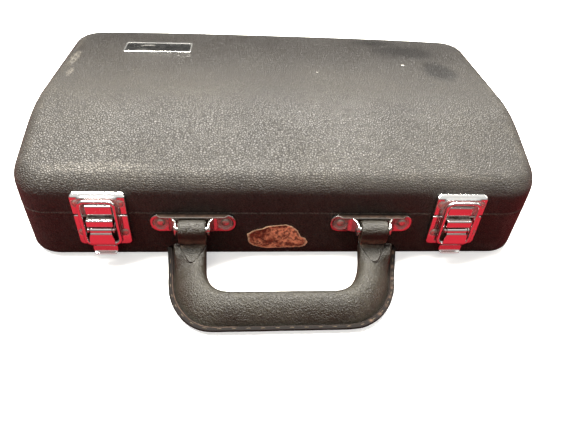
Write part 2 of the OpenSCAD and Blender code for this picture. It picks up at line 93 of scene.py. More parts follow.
def join(name, objects):
    """one mesh from several, kept as separate closed skins"""
    verts, faces, attrs, base = [], [], {}, 0
    keys = sorted({a.name for o in objects for a in o.data.attributes if a.domain == "POINT" and a.data_type == "FLOAT"})
    sharp, mats, index, smooth = [], [], [], []
    for o in objects:
        me = o.data
        verts += [tuple(v.co) for v in me.vertices]
        edges_sharp = {tuple(sorted(e.vertices)) for e in me.edges if e.use_edge_sharp}
        sharp += [(a + base, b + base) for a, b in edges_sharp]
        remap = []
        for m in me.materials:
            if m not in mats:
                mats.append(m)
            remap.append(mats.index(m))
        for p in me.polygons:
            faces.append(tuple(i + base for i in p.vertices))
            index.append(remap[p.material_index] if remap else 0)
        for k in keys:
            layer = me.attributes.get(k)
            got = np.zeros(len(me.vertices), np.float32)
            if layer:
                layer.data.foreach_get("value", got)
            attrs.setdefault(k, []).append(got)
        base += len(me.vertices)
    out = bpy.data.meshes.new(name)
    out.from_pydata(verts, [], faces)
    for k in keys:
        layer = out.attributes.new(k, "FLOAT", "POINT")
        layer.data.foreach_set("value", np.concatenate(attrs[k]))
    out.shade_smooth()
    wanted = set(sharp)
    for e in out.edges:
        if tuple(sorted(e.vertices)) in wanted:
            e.use_edge_sharp = True
    for m in mats:
        out.materials.append(m)
    for p, i in zip(out.polygons, index):
        p.material_index = i
    for o in objects:
        bpy.data.objects.remove(o)
    ob = bpy.data.objects.new(name, out)
    scene.collection.objects.link(ob)
    return ob


def rrect(w, h, r, k=6, nw=10, nh=6):
    """rounded rectangle about the origin as [u, v, nu, nv], anticlockwise; r is one radius or four (top right, top left, bottom left, bottom right)"""
    rs = [r] * 4 if not hasattr(r, "__len__") else list(r)
    corners = [(1, 1, 0), (-1, 1, 90), (-1, -1, 180), (1, -1, 270)]
    pts = []
    for i, (sx, sy, a0) in enumerate(corners):
        q = max(rs[i], 1e-4)
        cx, cy = sx * (w / 2 - q), sy * (h / 2 - q)
        for j in range(k + 1):
            a = math.radians(a0 + 90 * j / k)
            pts.append((cx + q * math.cos(a), cy + q * math.sin(a), math.cos(a), math.sin(a)))
        nx = corners[(i + 1) % 4]
        q2 = max(rs[(i + 1) % 4], 1e-4)
        a = math.radians(a0 + 90)
        ex, ey = cx + q * math.cos(a), cy + q * math.sin(a)
        fx, fy = nx[0] * (w / 2 - q2) + q2 * math.cos(a), nx[1] * (h / 2 - q2) + q2 * math.sin(a)
        n = nw if i % 2 == 0 else nh
        for j in range(1, n):
            pts.append((ex + (fx - ex) * j / n, ey + (fy - ey) * j / n, math.cos(a), math.sin(a)))
    return pts


def fillet(points, radii, n=5):
    """polyline with each inner corner rounded"""
    out = [tuple(points[0])]
    for i in range(1, len(points) - 1):
        r = radii[i - 1] if hasattr(radii, "__len__") else radii
        p, a, b = Vector(points[i]), Vector(points[i - 1]), Vector(points[i + 1])
        u, v = (a - p), (b - p)
        lu, lv = u.length, v.length
        u.normalize()
        v.normalize()
        ang = math.acos(max(-1, min(1, u.dot(v))))
        if r <= 0 or ang > math.pi - 0.02:
            out.append(tuple(p))
            continue
        d = min(r / math.tan(ang / 2), lu * 0.49, lv * 0.49)
        s, e = p + u * d, p + v * d
        for j in range(n + 1):
            t = j / n
            q = s * (1 - t) ** 2 + p * 2 * t * (1 - t) + e * t * t
            out.append(tuple(q))
    out.append(tuple(points[-1]))
    return out


def smooth_path(points, n):
    """Catmull-Rom through points of any dimension, n samples evenly along the chord length"""
    P = np.array(points, float)
    P = np.vstack([2 * P[0] - P[1], P, 2 * P[-1] - P[-2]])
    L = np.concatenate([[0], np.cumsum(np.linalg.norm(np.diff(P[1:-1], axis=0), axis=1))])
    out = []
    for s in np.linspace(0, L[-1], n):
        i = min(int(np.searchsorted(L, s, side="right")) - 1, len(L) - 2)
        t = (s - L[i]) / (L[i + 1] - L[i])
        a, b, c, d = P[i], P[i + 1], P[i + 2], P[i + 3]
        out.append(0.5 * (2 * b + (c - a) * t + (2 * a - 5 * b + 4 * c - d) * t * t + (3 * b - a - 3 * c + d) * t ** 3))
    return np.array(out)


def resample(points, step):
    P = np.array(points, float)
    L = np.concatenate([[0], np.cumsum(np.linalg.norm(np.diff(P, axis=0), axis=1))])
    n = max(2, int(round(L[-1] / step)) + 1)
    s = np.linspace(0, L[-1], n)
    return np.stack([np.interp(s, L, P[:, k]) for k in range(P.shape[1])], 1)


def sheet(name, path, thick, half, place, r=0.3, nx=8, end_r=None, sharp=40, attr=None, centre=None):
    """bent sheet: a path in a plane, swept across. place(p, q, x) gives the point for plane position (p, q) and cross position x.
    half is the half width along the path (a number or a function of the share of its length), centre shifts it"""
    P = np.array(path, float)
    d = np.gradient(P, axis=0)
    d /= np.maximum(np.linalg.norm(d, axis=1, keepdims=True), 1e-9)
    nrm = np.stack([-d[:, 1], d[:, 0]], 1)
    L = np.concatenate([[0], np.cumsum(np.linalg.norm(np.diff(P, axis=0), axis=1))])
    er = thick / 2 if end_r is None else end_r
    rings, marks = [], []
    order = list(range(len(P)))
    samples = [(P[i], nrm[i], L[i]) for i in order]
    # rounded ends
    def at(s):
        return (np.array([np.interp(s, L, P[:, 0]), np.interp(s, L, P[:, 1])]), np.array([np.interp(s, L, nrm[:, 0]), np.interp(s, L, nrm[:, 1])]), s)
    inner = [q for q in samples if er * 1.02 < q[2] < L[-1] - er * 1.02]
    ends0 = [at(er * (1 - math.cos(a))) for a in np.radians([8, 30, 55, 90])]
    ends1 = [at(L[-1] - er * (1 - math.cos(a))) for a in np.radians([90, 55, 30, 8])]
    for (p, q, s) in ends0 + inner + ends1:
        e = min(s, L[-1] - s)
        f = 1.0 if e >= er else math.sqrt(max(1 - (1 - e / er) ** 2, 0.01))
        u = s / L[-1]
        h = half(u) if callable(half) else half
        c = (centre(u) if callable(centre) else centre) or 0.0
        t = thick(u) if callable(thick) else thick
        t = max(t * f, 0.04)
        rr = min(r, t * 0.49)
        h2 = h - (1 - f) * er
        ring, mark = [], []
        for (x, y, _, _) in rrect(2 * h2, t, rr, k=3, nw=nx, nh=2):
            ring.append(place(p[0] + q[0] * y, p[1] + q[1] * y, x + c))
            mark.append(attr(u, x, y) if attr else 0.0)
        rings.append(ring)
        marks.append(mark)
    return rings_object(name, rings, sharp=sharp, attrs={"mark": marks})


def tube(name, points, r, n=16, closed=False, end_round=True):
    P = np.array(points, float)
    m = len(P)
    T = np.zeros_like(P)
    for i in range(m):
        a, b = (P[(i - 1) % m], P[(i + 1) % m]) if closed else (P[max(i - 1, 0)], P[min(i + 1, m - 1)])
        T[i] = (b - a) / max(np.linalg.norm(b - a), 1e-9)
    ref = np.array([0, 0, 1.0]) if abs(T[0][2]) < 0.9 else np.array([1.0, 0, 0])
    u = np.cross(T[0], ref)
    u /= np.linalg.norm(u)
    rings = []
    rs = r if hasattr(r, "__len__") else [r] * m
    for i in range(m):
        u = u - T[i] * (u @ T[i])
        u /= np.linalg.norm(u)
        w = np.cross(T[i], u)
        rings.append([P[i] + rs[i] * (math.cos(a) * u + math.sin(a) * w) for a in np.linspace(0, 2 * math.pi, n, endpoint=False)])
    if closed:
        # match the seam: shift the last ring's phase
        first = np.array(rings[0])
        u0 = rings[0][0] - P[0]
        last_u = u - T[0] * (u @ T[0])
        ang = math.atan2(np.dot(np.cross(last_u, u0), T[0]), np.dot(last_u, u0))
        for i in range(m):
            k = ang * i / m
            base = np.array(rings[i]) - P[i]
            rot = Matrix.Rotation(k, 3, Vector(T[i]))
            rings[i] = [P[i] + np.array(rot @ Vector(b)) for b in base]
        verts = [p for q in rings for p in q]
        return mesh_object(name, verts, grid_faces(m, n, wrap_m=True))
    return rings_object(name, rings)


def lathe(name, profile, origin, axis, n=36, sharp=50, attr=None):
    """profile of (radius, height) turned about an axis from the origin"""
    ax = Vector(axis).normalized()
    ref = Vector((0, 0, 1)) if abs(ax.z) < 0.9 else Vector((1, 0, 0))
    u = ax.cross(ref).normalized()
    w = ax.cross(u)
    o = Vector(origin)
    verts, faces, rows, marks = [], [], [], []
    for i, (r, h) in enumerate(profile):
        if r < 1e-5:
            rows.append([len(verts)])
            verts.append(o + ax * h)
            marks.append(attr(r, h) if attr else 0.0)
        else:
            rows.append(list(range(len(verts), len(verts) + n)))
            for k in range(n):
                a = 2 * math.pi * k / n
                verts.append(o + ax * h + (u * math.cos(a) + w * math.sin(a)) * r)
                marks.append(attr(r, h) if attr else 0.0)
    for a, b in zip(rows, rows[1:]):
        for k in range(n):
            if len(a) == 1:
                faces.append((a[0], b[k], b[(k + 1) % n]))
            elif len(b) == 1:
                faces.append((a[k], a[(k + 1) % n], b[0]))
            else:
                faces.append((a[k], a[(k + 1) % n], b[(k + 1) % n], b[k]))
    return mesh_object(name, verts, faces, sharp=sharp, attrs={"mark": marks})


def smooth01(a, b, x):
    t = np.clip((np.asarray(x, float) - a) / (b - a), 0, 1)
    return t * t * (3 - 2 * t)


def fbm(x, y, z, scale, octaves=3):
    return noise.fractal(Vector((x * scale, y * scale, z * scale)), 1.0, 2.0, octaves, noise_basis="PERLIN_ORIGINAL")


# ------------------------------------------------------------------ materials
class Mat:
    def __init__(self, name):
        self.m = bpy.data.materials.new(name)
        self.m.use_nodes = True
        self.nt = self.m.node_tree
        self.nt.nodes.clear()
        self.out = self.nt.nodes.new("ShaderNodeOutputMaterial")
        self.b = self.nt.nodes.new("ShaderNodeBsdfPrincipled")
        self.nt.links.new(self.b.outputs[0], self.out.inputs[0])
        self.coord = self.nt.nodes.new("ShaderNodeTexCoord").outputs["Object"]

    def set(self, **kw):
        for k, v in kw.items():
            s = self.b.inputs[k.replace("_", " ")]
            if isinstance(v, bpy.types.NodeSocket):
                self.nt.links.new(v, s)
            else:
                s.default_value = (*v, 1.0) if hasattr(v, "__len__") and len(v) == 3 and s.type == "RGBA" else v
        return self

    def node(self, kind, props=None, **inputs):
        n = self.nt.nodes.new(kind)
        for k, v in (props or {}).items():
            setattr(n, k, v)
        for k, v in inputs.items():
            key = int(k[1:]) if k[0] == "i" and k[1:].isdigit() else k.replace("_", " ")
            s = n.inputs[key]
            if isinstance(v, bpy.types.NodeSocket):
                self.nt.links.new(v, s)
            elif hasattr(v, "__len__") and len(v) == 3 and s.type == "RGBA":
                s.default_value = (*v, 1.0)
            else:
                s.default_value = v
        return n

    def mapping(self, scale=(1, 1, 1), rot=(0, 0, 0), loc=(0, 0, 0), vec=None):
        return self.node("ShaderNodeMapping", None, Vector=vec or self.coord, Scale=scale, Rotation=rot, Location=loc).outputs[0]

    def noise(self, scale, detail=2.0, rough=0.5, vec=None, distortion=0.0):
        return self.node("ShaderNodeTexNoise", None, Vector=vec or self.coord, Scale=scale, Detail=detail, Roughness=rough, Distortion=distortion).outputs["Fac"]

    def voronoi(self, scale, feature="F1", vec=None, rand=1.0, out="Distance", smooth=None):
        n = self.node("ShaderNodeTexVoronoi", {"feature": feature}, Vector=vec or self.coord, Scale=scale, Randomness=rand)
        if smooth is not None and "Smoothness" in n.inputs:
            n.inputs["Smoothness"].default_value = smooth
        return n.outputs[out]

    def math(self, op, a, b=None, c=None, clamp=False):
        n = self.nt.nodes.new("ShaderNodeMath")
        n.operation = op
        n.use_clamp = clamp
        for i, v in enumerate((a, b, c)):
            if v is None:
                continue
            if isinstance(v, bpy.types.NodeSocket):
                self.nt.links.new(v, n.inputs[i])
            else:
                n.inputs[i].default_value = v
        return n.outputs[0]

    def ramp(self, fac, stops, interp="LINEAR"):
        """piecewise map of a value: stops of (position, value)"""
        n = self.nt.nodes.new("ShaderNodeValToRGB")
        n.color_ramp.interpolation = interp
        self.nt.links.new(fac, n.inputs[0])
        e = n.color_ramp.elements
        while len(e) < len(stops):
            e.new(0.5)
        for el, (p, v) in zip(e, stops):
            el.position = p
            el.color = (*v, 1) if hasattr(v, "__len__") else (v, v, v, 1)
        return n.outputs[0]

    def mix(self, fac, a, b):
        n = self.nt.nodes.new("ShaderNodeMix")
        n.data_type = "RGBA"
        for key, v in ((0, fac), (6, a), (7, b)):
            if isinstance(v, bpy.types.NodeSocket):
                self.nt.links.new(v, n.inputs[key])
            else:
                n.inputs[key].default_value = (*v, 1.0) if hasattr(v, "__len__") else v
        return n.outputs[2]

    def attr(self, name):
        return self.node("ShaderNodeAttribute", {"attribute_name": name}).outputs["Fac"]

    def bump(self, height, distance, strength=1.0, normal=None):
        n = self.node("ShaderNodeBump", None, Height=height, Distance=distance, Strength=strength)
        if normal is not None:
            self.nt.links.new(normal, n.inputs["Normal"])
        return n.outputs[0]

    def spot(self, centre, size, wobble=0.3, freq=60.0, hard=0.5):
        """1 inside an ellipsoid about a place in mm, with a ragged edge"""
        c = [v * MM for v in centre]
        inv = [1 / (v * MM) for v in size]
        vec = self.mapping(scale=inv, loc=[-c[i] * inv[i] for i in range(3)])
        d = self.node("ShaderNodeVectorMath", {"operation": "LENGTH"}, i0=vec).outputs["Value"]
        d = self.math("ADD", d, self.math("MULTIPLY", self.math("SUBTRACT", self.noise(freq, 4.0, 0.6), 0.5), wobble * 2))
        return self.node("ShaderNodeMapRange", {"interpolation_type": "SMOOTHSTEP"}, Value=d, i1=1.0 + hard, i2=1.0 - hard, i3=0.0, i4=1.0).outputs[0]


def leather_grain(s, cell, fine=2.3):
    """pebbled height, 0 in the creases, 1 on the pebbles; cell in mm"""
    warp = s.node("ShaderNodeVectorMath", {"operation": "SCALE"}, i0=s.node("ShaderNodeTexNoise", None, Vector=s.coord, Scale=300.0 / cell, Detail=1.0).outputs["Color"], Scale=0.0006 * cell).outputs[0]
    vec = s.node("ShaderNodeVectorMath", {"operation": "ADD"}, i0=s.coord, i1=warp).outputs[0]
    edge = s.voronoi(1000.0 / cell, "DISTANCE_TO_EDGE", vec)
    peb = s.ramp(edge, [(0.0, 0.0), (0.16, 0.72), (0.45, 1.0)], "EASE")
    small = s.noise(1000.0 * fine / cell, 2.0, 0.6, vec)
    return s.math("ADD", s.math("MULTIPLY", peb, 0.8), s.math("MULTIPLY", small, 0.35))


def shell_material(name, lid):
    s = Mat(name)
    grain = leather_grain(s, 1.55)
    patch = s.noise(14.0, 5.0, 0.6)
    fine = s.noise(420.0, 3.0, 0.6)
    base = s.mix(s.ramp(patch, [(0.32, 0.0), (0.7, 1.0)]), (0.0130, 0.0104, 0.0068), (0.0260, 0.0220, 0.0150))
    # dry dust held in the grain
    dust = s.math("MULTIPLY", s.ramp(s.noise(34.0, 6.0, 0.68), [(0.42, 0.0), (0.72, 1.0)]), s.ramp(grain, [(0.25, 1.0), (0.75, 0.25)]))
    base = s.mix(s.math("MULTIPLY", dust, 0.40), base, (0.050, 0.045, 0.034))
    base = s.mix(s.math("MULTIPLY", s.ramp(fine, [(0.35, 1.0), (0.6, 0.0)]), 0.5), base, (0.006, 0.005, 0.005))
    # long fine scratches, in two directions
    marks = None
    for rot, sc, lo in (((0, 0, 0.5), (9.0, 700.0, 40.0), 0.70), ((0, 0, -0.9), (12.0, 620.0, 40.0), 0.715), ((0, 0, 1.35), (10.0, 800.0, 40.0), 0.72)):
        line = s.noise(1.0, 1.0, 0.4, s.mapping(scale=sc, rot=rot))
        line = s.math("MULTIPLY", s.ramp(line, [(lo, 0.0), (lo + 0.03, 1.0)]), s.ramp(s.noise(11.0 + 9 * lo, 2.0), [(0.5, 0.0), (0.62, 1.0)]))
        marks = line if marks is None else s.math("MAXIMUM", marks, line)
    base = s.mix(s.math("MULTIPLY", marks, 0.22), base, (0.12, 0.115, 0.10))
    rough = s.ramp(s.noise(22.0, 5.0, 0.65), [(0.3, 0.40), (0.7, 0.53)])
    # painted shade: the colour darkens towards the back; it is also smoother there
    y = s.node("ShaderNodeSeparateXYZ", None, i0=s.coord).outputs["Y"]
    back = s.node("ShaderNodeMapRange", {"interpolation_type": "SMOOTHSTEP"}, Value=y, i1=-0.02, i2=0.085, i3=0.0, i4=1.0).outputs[0]
    base = s.mix(s.math("MULTIPLY", back, 0.8), base, (0.006, 0.0045, 0.0035))
    rough = s.math("SUBTRACT", rough, s.math("MULTIPLY", back, 0.15))
    shine = s.math("ADD", s.math("MULTIPLY", back, -0.17), 0.5)
    # rubbed edges
    edge = s.math("MULTIPLY", s.attr("edge"), s.ramp(s.noise(90.0, 6.0, 0.7), [(0.46, 0.0), (0.62, 1.0)]))
    base = s.mix(s.math("MULTIPLY", edge, 0.35), base, (0.075, 0.066, 0.052))
    # painted highlight: the rounded rims at the seam are painted pale
    rim = s.attr("rim")
    base = s.mix(s.math("MULTIPLY", rim, 0.65), base, (0.13, 0.112, 0.095))
    if lid:
        smudge = s.math("MAXIMUM", s.spot((112, 60, 91), (26, 13, 30), 0.55, 70.0, 0.5), s.spot((132, 24, 88), (13, 16, 30), 0.5, 85.0, 0.45))
        smudge = s.math("MAXIMUM", smudge, s.spot((88, 78, 91), (17, 6, 30), 0.5, 95.0, 0.45))
        base = s.mix(s.math("MULTIPLY", smudge, 0.92), base, (0.006, 0.0055, 0.005))
        scuff = s.math("MAXIMUM", s.spot((-160.5, 34, 86), (3.2, 13, 20), 0.7, 190.0, 0.35), s.spot((-157, 8, 84), (2.2, 7, 20), 0.8, 260.0, 0.3))
        scuff = s.math("MAXIMUM", scuff, s.math("MULTIPLY", s.spot((-120, -88, 66), (30, 4, 8), 0.9, 240.0, 0.3), 0.6))
        scuff = s.math("MULTIPLY", scuff, s.ramp(s.noise(600.0, 3.0, 0.6), [(0.40, 0.0), (0.58, 1.0)]))
        base = s.mix(s.math("MULTIPLY", scuff, 0.6), base, (0.17, 0.155, 0.13))
        speck = s.math("MAXIMUM", s.spot((103.5, 33, 90), (1.3, 1.0, 20), 0.2, 300.0, 0.2), s.spot((30.0, 14, 89), (0.7, 0.8, 20), 0.2, 300.0, 0.2))
        base = s.mix(speck, base, (0.55, 0.53, 0.48))
        shine = s.math("ADD", shine, s.math("MULTIPLY", smudge, -0.16))
    else:
        low = s.spot((0, -100, 4), (220, 8, 8), 0.6, 130.0, 0.5)
        base = s.mix(s.math("MULTIPLY", s.math("MULTIPLY", low, s.ramp(s.noise(240.0, 4.0, 0.65), [(0.5, 0.0), (0.68, 1.0)])), 0.3), base, (0.07, 0.06, 0.05))
    base = s.mix(s.math("MULTIPLY", s.ramp(grain, [(0.30, 1.0), (0.80, 0.0)]), 0.7), base, (0.003, 0.002, 0.0015))
    rough = s.math("ADD", rough, s.ramp(grain, [(0.30, 0.30), (0.85, 0.0)]))
    s.set(Base_Color=base, Roughness=rough, Specular_IOR_Level=shine, IOR=1.5)
    height = s.math("SUBTRACT", grain, s.math("MULTIPLY", marks, 0.35))
    s.set(Normal=s.bump(height, 0.00050, 1.0))
    return s.m


def chrome_material(name, tint=(0.87, 0.865, 0.85), rough=(0.07, 0.2), tarnish=0.0, pit=0.0):
    s = Mat(name)
    smear = s.noise(55.0, 6.0, 0.65)
    scratch = s.noise(1.0, 2.0, 0.5, s.mapping(scale=(180.0, 180.0, 2600.0), rot=(0.3, 0.2, 0.4)))
    base = s.mix(s.math("MULTIPLY", s.ramp(smear, [(0.45, 0.0), (0.75, 1.0)]), 0.35), tint, tuple(c * 0.72 for c in tint))
    r = s.ramp(smear, [(0.3, rough[0]), (0.75, rough[1])])
    mark = s.attr("mark")
    spots = s.ramp(s.voronoi(700.0), [(0.0, 1.0), (0.10, 0.0)])
    spots = s.math("MULTIPLY", spots, s.ramp(s.noise(120.0, 2.0), [(0.5, 0.0), (0.6, 1.0)]))
    dirty = s.math("MULTIPLY", spots, 0.5 + 0.5 * pit)
    if tarnish:
        patch = s.ramp(s.noise(210.0, 5.0, 0.7), [(0.36, 0.0), (0.60, 1.0)])
        dirty = s.math("MAXIMUM", dirty, s.math("MULTIPLY", s.math("MULTIPLY", mark, tarnish), s.math("ADD", s.math("MULTIPLY", patch, 0.6), 0.4)))
    base = s.mix(dirty, base, (0.085, 0.062, 0.040))
    r = s.math("ADD", r, s.math("MULTIPLY", dirty, 0.32))
    s.set(Base_Color=base, Metallic=s.math("SUBTRACT", 1.0, s.math("MULTIPLY", dirty, 0.55)), Roughness=r)
    s.set(Normal=s.bump(s.math("ADD", scratch, s.math("MULTIPLY", smear, 1.5)), 0.00001, 0.5))
    return s.m


def steel_material(name, tint, rough):
    s = Mat(name)
    brush = s.noise(1.0, 3.0, 0.6, s.mapping(scale=(60.0, 2600.0, 2600.0)))
    blotch = s.noise(70.0, 5.0, 0.65)
    base = s.mix(s.ramp(blotch, [(0.4, 0.0), (0.75, 0.6)]), tint, tuple(c * 0.6 for c in tint))
    s.set(Base_Color=base, Metallic=1.0, Roughness=s.ramp(blotch, [(0.3, rough), (0.7, rough + 0.14)]))
    s.set(Normal=s.bump(brush, 0.00002, 0.6))
    return s.m


def leatherette_material(name):
    s = Mat(name)
    wide = leather_grain(s, 1.5, 2.6)
    stretched = s.mapping(scale=(1.0, 1.0, 1.0), rot=(0.0, 0.0, 0.6))
    wrinkle = s.noise(620.0, 5.0, 0.68, stretched, 0.8)
    grain = s.math("ADD", s.math("MULTIPLY", wide, 0.34), s.math("MULTIPLY", s.ramp(wrinkle, [(0.30, 0.0), (0.70, 1.0)]), 0.62))
    patch = s.noise(40.0, 5.0, 0.6)
    base = s.mix(s.ramp(patch, [(0.35, 0.0), (0.68, 1.0)]), (0.011, 0.0090, 0.0052), (0.023, 0.0200, 0.0125))
    base = s.mix(s.ramp(grain, [(0.25, 0.9), (0.65, 0.0)]), base, (0.005, 0.004, 0.003))
    worn = s.math("MULTIPLY", s.attr("mark"), s.ramp(s.noise(330.0, 4.0, 0.7), [(0.38, 0.2), (0.6, 1.0)]))
    base = s.mix(s.math("MULTIPLY", worn, 0.8), base, (0.26, 0.19, 0.13))
    # painted shade: darkens the grip's underside, the groove before the flange, the turned-in mouths and the line along
    # the strap's tongue
    dark = s.attr("dark")
    base = s.mix(s.math("MULTIPLY", dark, 0.92), base, (0.006, 0.004, 0.004))
    rough = s.math("ADD", s.ramp(patch, [(0.3, 0.36), (0.7, 0.50)]), s.math("MULTIPLY", dark, 0.35))
    s.set(Base_Color=base, Roughness=rough, Specular_IOR_Level=0.42)
    s.set(Normal=s.bump(grain, 0.00050, 1.0))
    return s.m


def edge_material(name):
    """the flange's blackened, matt edge"""
    s = Mat(name)
    grain = s.noise(700.0, 4.0, 0.65)
    base = s.mix(s.ramp(grain, [(0.35, 0.0), (0.65, 1.0)]), (0.0018, 0.0009, 0.0007), (0.0045, 0.0026, 0.0020))
    worn = s.math("MULTIPLY", s.attr("mark"), s.ramp(s.noise(330.0, 4.0, 0.7), [(0.38, 0.2), (0.6, 1.0)]))
    base = s.mix(s.math("MULTIPLY", worn, 0.8), base, (0.10, 0.062, 0.042))
    s.set(Base_Color=base, Roughness=0.7, Specular_IOR_Level=0.12)
    s.set(Normal=s.bump(grain, 0.0002, 0.8))
    return s.m


def plush_material(name, colour):
    s = Mat(name)
    pile = s.noise(900.0, 3.0, 0.7)
    lay = s.noise(18.0, 4.0, 0.55, distortion=0.6)
    base = s.mix(s.ramp(lay, [(0.35, 0.0), (0.65, 1.0)]), tuple(c * 0.55 for c in colour), colour)
    base = s.mix(s.ramp(pile, [(0.35, 0.6), (0.6, 0.0)]), base, tuple(c * 0.3 for c in colour))
    s.set(Base_Color=base, Roughness=0.95, Specular_IOR_Level=0.12, Sheen_Weight=0.4, Sheen_Roughness=0.35)
    s.b.inputs["Sheen Tint"].default_value = (0.75, 0.35, 0.40, 1)
    s.set(Normal=s.bump(s.math("ADD", pile, s.math("MULTIPLY", lay, 1.5)), 0.0005, 0.8))
    return s.m


def paper_material(name):
    s = Mat(name)
    fibre = s.noise(1.0, 5.0, 0.7, s.mapping(scale=(260.0, 260.0, 900.0)))
    blot = s.noise(95.0, 6.0, 0.72)
    base = s.mix(s.ramp(blot, [(0.42, 0.0), (0.58, 1.0)]), (0.16, 0.028, 0.014), (0.82, 0.34, 0.19))
    base = s.mix(s.math("MULTIPLY", s.ramp(s.noise(420.0, 4.0, 0.7), [(0.47, 0.0), (0.57, 1.0)]), 0.8), base, (0.050, 0.016, 0.012))
    base = s.mix(s.math("MULTIPLY", s.ramp(fibre, [(0.55, 0.0), (0.70, 1.0)]), 0.35), base, (0.58, 0.36, 0.22))
    torn = s.math("MULTIPLY", s.attr("mark"), s.ramp(s.noise(300.0, 4.0, 0.7), [(0.30, 0.3), (0.55, 1.0)]))
    base = s.mix(torn, base, (0.70, 0.50, 0.32))
    s.set(Base_Color=base, Roughness=0.72, Specular_IOR_Level=0.3)
    s.set(Normal=s.bump(s.math("ADD", fibre, blot), 0.00012, 0.8))
    return s.m


def enamel_material(name):
    s = Mat(name)
    wear = s.noise(160.0, 6.0, 0.7)
    line = s.ramp(s.noise(1.0, 1.0, 0.5, s.mapping(scale=(40.0, 1500.0, 40.0), rot=(0, 0, 0.4))), [(0.69, 0.0), (0.72, 1.0)])
    base = s.mix(s.ramp(wear, [(0.5, 0.0), (0.8, 0.5)]), (0.006, 0.006, 0.006), (0.020, 0.019, 0.017))
    base = s.mix(s.math("MULTIPLY", line, 0.5), base, (0.45, 0.44, 0.41))
    s.set(Base_Color=base, Roughness=s.ramp(wear, [(0.35, 0.22), (0.7, 0.42)]), Specular_IOR_Level=0.16)
    s.set(Normal=s.bump(wear, 0.00003, 0.5))
    return s.m


def thread_material(name, colour):
    s = Mat(name)
    twist = s.noise(1.0, 2.0, 0.5, s.mapping(scale=(1800.0, 1800.0, 1800.0), rot=(0.6, 0.4, 0.8)))
    s.set(Base_Color=s.mix(s.ramp(twist, [(0.35, 0.0), (0.65, 1.0)]), tuple(c * 0.4 for c in colour), colour), Roughness=0.8, Specular_IOR_Level=0.3)
    s.set(Normal=s.bump(twist, 0.0001, 0.8))
    return s.m


def plastic_material(name, colour):
    s = Mat(name)
    mott = s.noise(180.0, 4.0, 0.6)
    s.set(Base_Color=s.mix(s.ramp(mott, [(0.35, 0.0), (0.65, 1.0)]), tuple(c * 0.7 for c in colour), colour), Roughness=s.ramp(mott, [(0.3, 0.38), (0.7, 0.52)]))
    s.set(Normal=s.bump(s.noise(1600.0, 2.0), 0.00003, 0.6))
    return s.m


M_LID = shell_material("lid_plastic", True)
M_BASE = shell_material("base_plastic", False)
M_CHROME = chrome_material("latch_chrome", tarnish=0.95)
M_BRACKET = chrome_material("bracket_nickel", (0.70, 0.68, 0.64), (0.12, 0.28), tarnish=0.95, pit=0.4)
M_RIVET = chrome_material("rivet_nickel", (0.74, 0.70, 0.62), (0.16, 0.34), tarnish=0.8, pit=0.5)
M_HINGE = steel_material("hinge_steel", (0.66, 0.65, 0.62), 0.22)
M_PIN = steel_material("pin_steel", (0.66, 0.65, 0.63), 0.16)
M_LEATHER = leatherette_material("leatherette")
M_EDGE = edge_material("flange_edge")
M_PLUSH = plush_material("plush", (0.080, 0.0065, 0.015))
M_PAPER = paper_material("torn_paper")
M_BADGE = chrome_material("badge_aluminium", (0.80, 0.79, 0.76), (0.18, 0.34), tarnish=0.0, pit=0.2)
M_ENAMEL = enamel_material("badge_enamel")
M_THREAD = thread_material("thread", (0.075, 0.055, 0.036))
# dark material: painted shade in the latch dish and in the opening behind the strap, also on the top side of the
# bracket's bar
M_SHADE_AND_GRIME = edge_material("grime")
M_RIM = plastic_material("rim_plastic", (0.040, 0.038, 0.036))
M_CORE = steel_material("core_steel", (0.45, 0.45, 0.45), 0.35)


def paint(ob, *mats):
    ob.data.materials.clear()
    for m in mats:
        ob.data.materials.append(m)
    return ob


def place_piece(ob, body, nodes=(), mat=None):
    if mat is not None:
        paint(ob, mat)
    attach(ob, body)
    if nodes:
        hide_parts(*nodes)
    return ob


# ------------------------------------------------------------------ shells
CASE_W, CASE_D, CORNER = 350.0, 199.0, 23.0
FRONT_H, CREASE_H, REAR_H, CREASE_Y, BLEND, CROWN = 63.0, 88.7, 93.6, 68.8, 18.7, 2.4
LID_R, FRONT_R, BASE_R, LID_DRAFT, BASE_DRAFT = 13.5, 10.3, 6.1, 0.0052, 0.015


def lid_top(x, y):
    q = y - FRONT
    s1, s2 = (CREASE_H - FRONT_H) / CREASE_Y, (REAR_H - CREASE_H) / (CASE_D - CREASE_Y)
    e = np.maximum(q - (CREASE_Y - BLEND), 0)
    bend = np.where(e < 2 * BLEND, (s2 - s1) * e * e / (4 * BLEND), (s2 - s1) * (e - BLEND))
    return FRONT_H + s1 * q + bend - CROWN * np.minimum(np.abs(x) / (CASE_W / 2), 1) ** 3


def outline(nx, ny, nc):
    pts = []
    a, b, r = CASE_W / 2, CASE_D / 2, CORNER
    for k in range(4):
        cx = a - r if k in (0, 1) else r - a
        cy = b - r if k in (1, 2) else r - b
        w0 = 90 * k
        k2 = (k + 1) % 4
        ex, ey = cx + r * math.cos(math.radians(w0)), cy + r * math.sin(math.radians(w0))
        fx = (a - r if k2 in (0, 1) else r - a) + r * math.cos(math.radians(w0))
        fy = (b - r if k2 in (1, 2) else r - b) + r * math.sin(math.radians(w0))
        for j in range(nc + 1):
            w = math.radians(w0 - 90 + 90 * j / nc)
            pts.append((cx + r * math.cos(w), cy + r * math.sin(w), math.cos(w), math.sin(w)))
        n = ny if k % 2 == 0 else nx
        for j in range(1, n):
            pts.append((ex + (fx - ex) * j / n, ey + (fy - ey) * j / n, math.cos(math.radians(w0)), math.sin(math.radians(w0))))
    return np.array(pts)


O = outline(96, 44, 16)
SPINE = (CASE_W - CASE_D) / 2


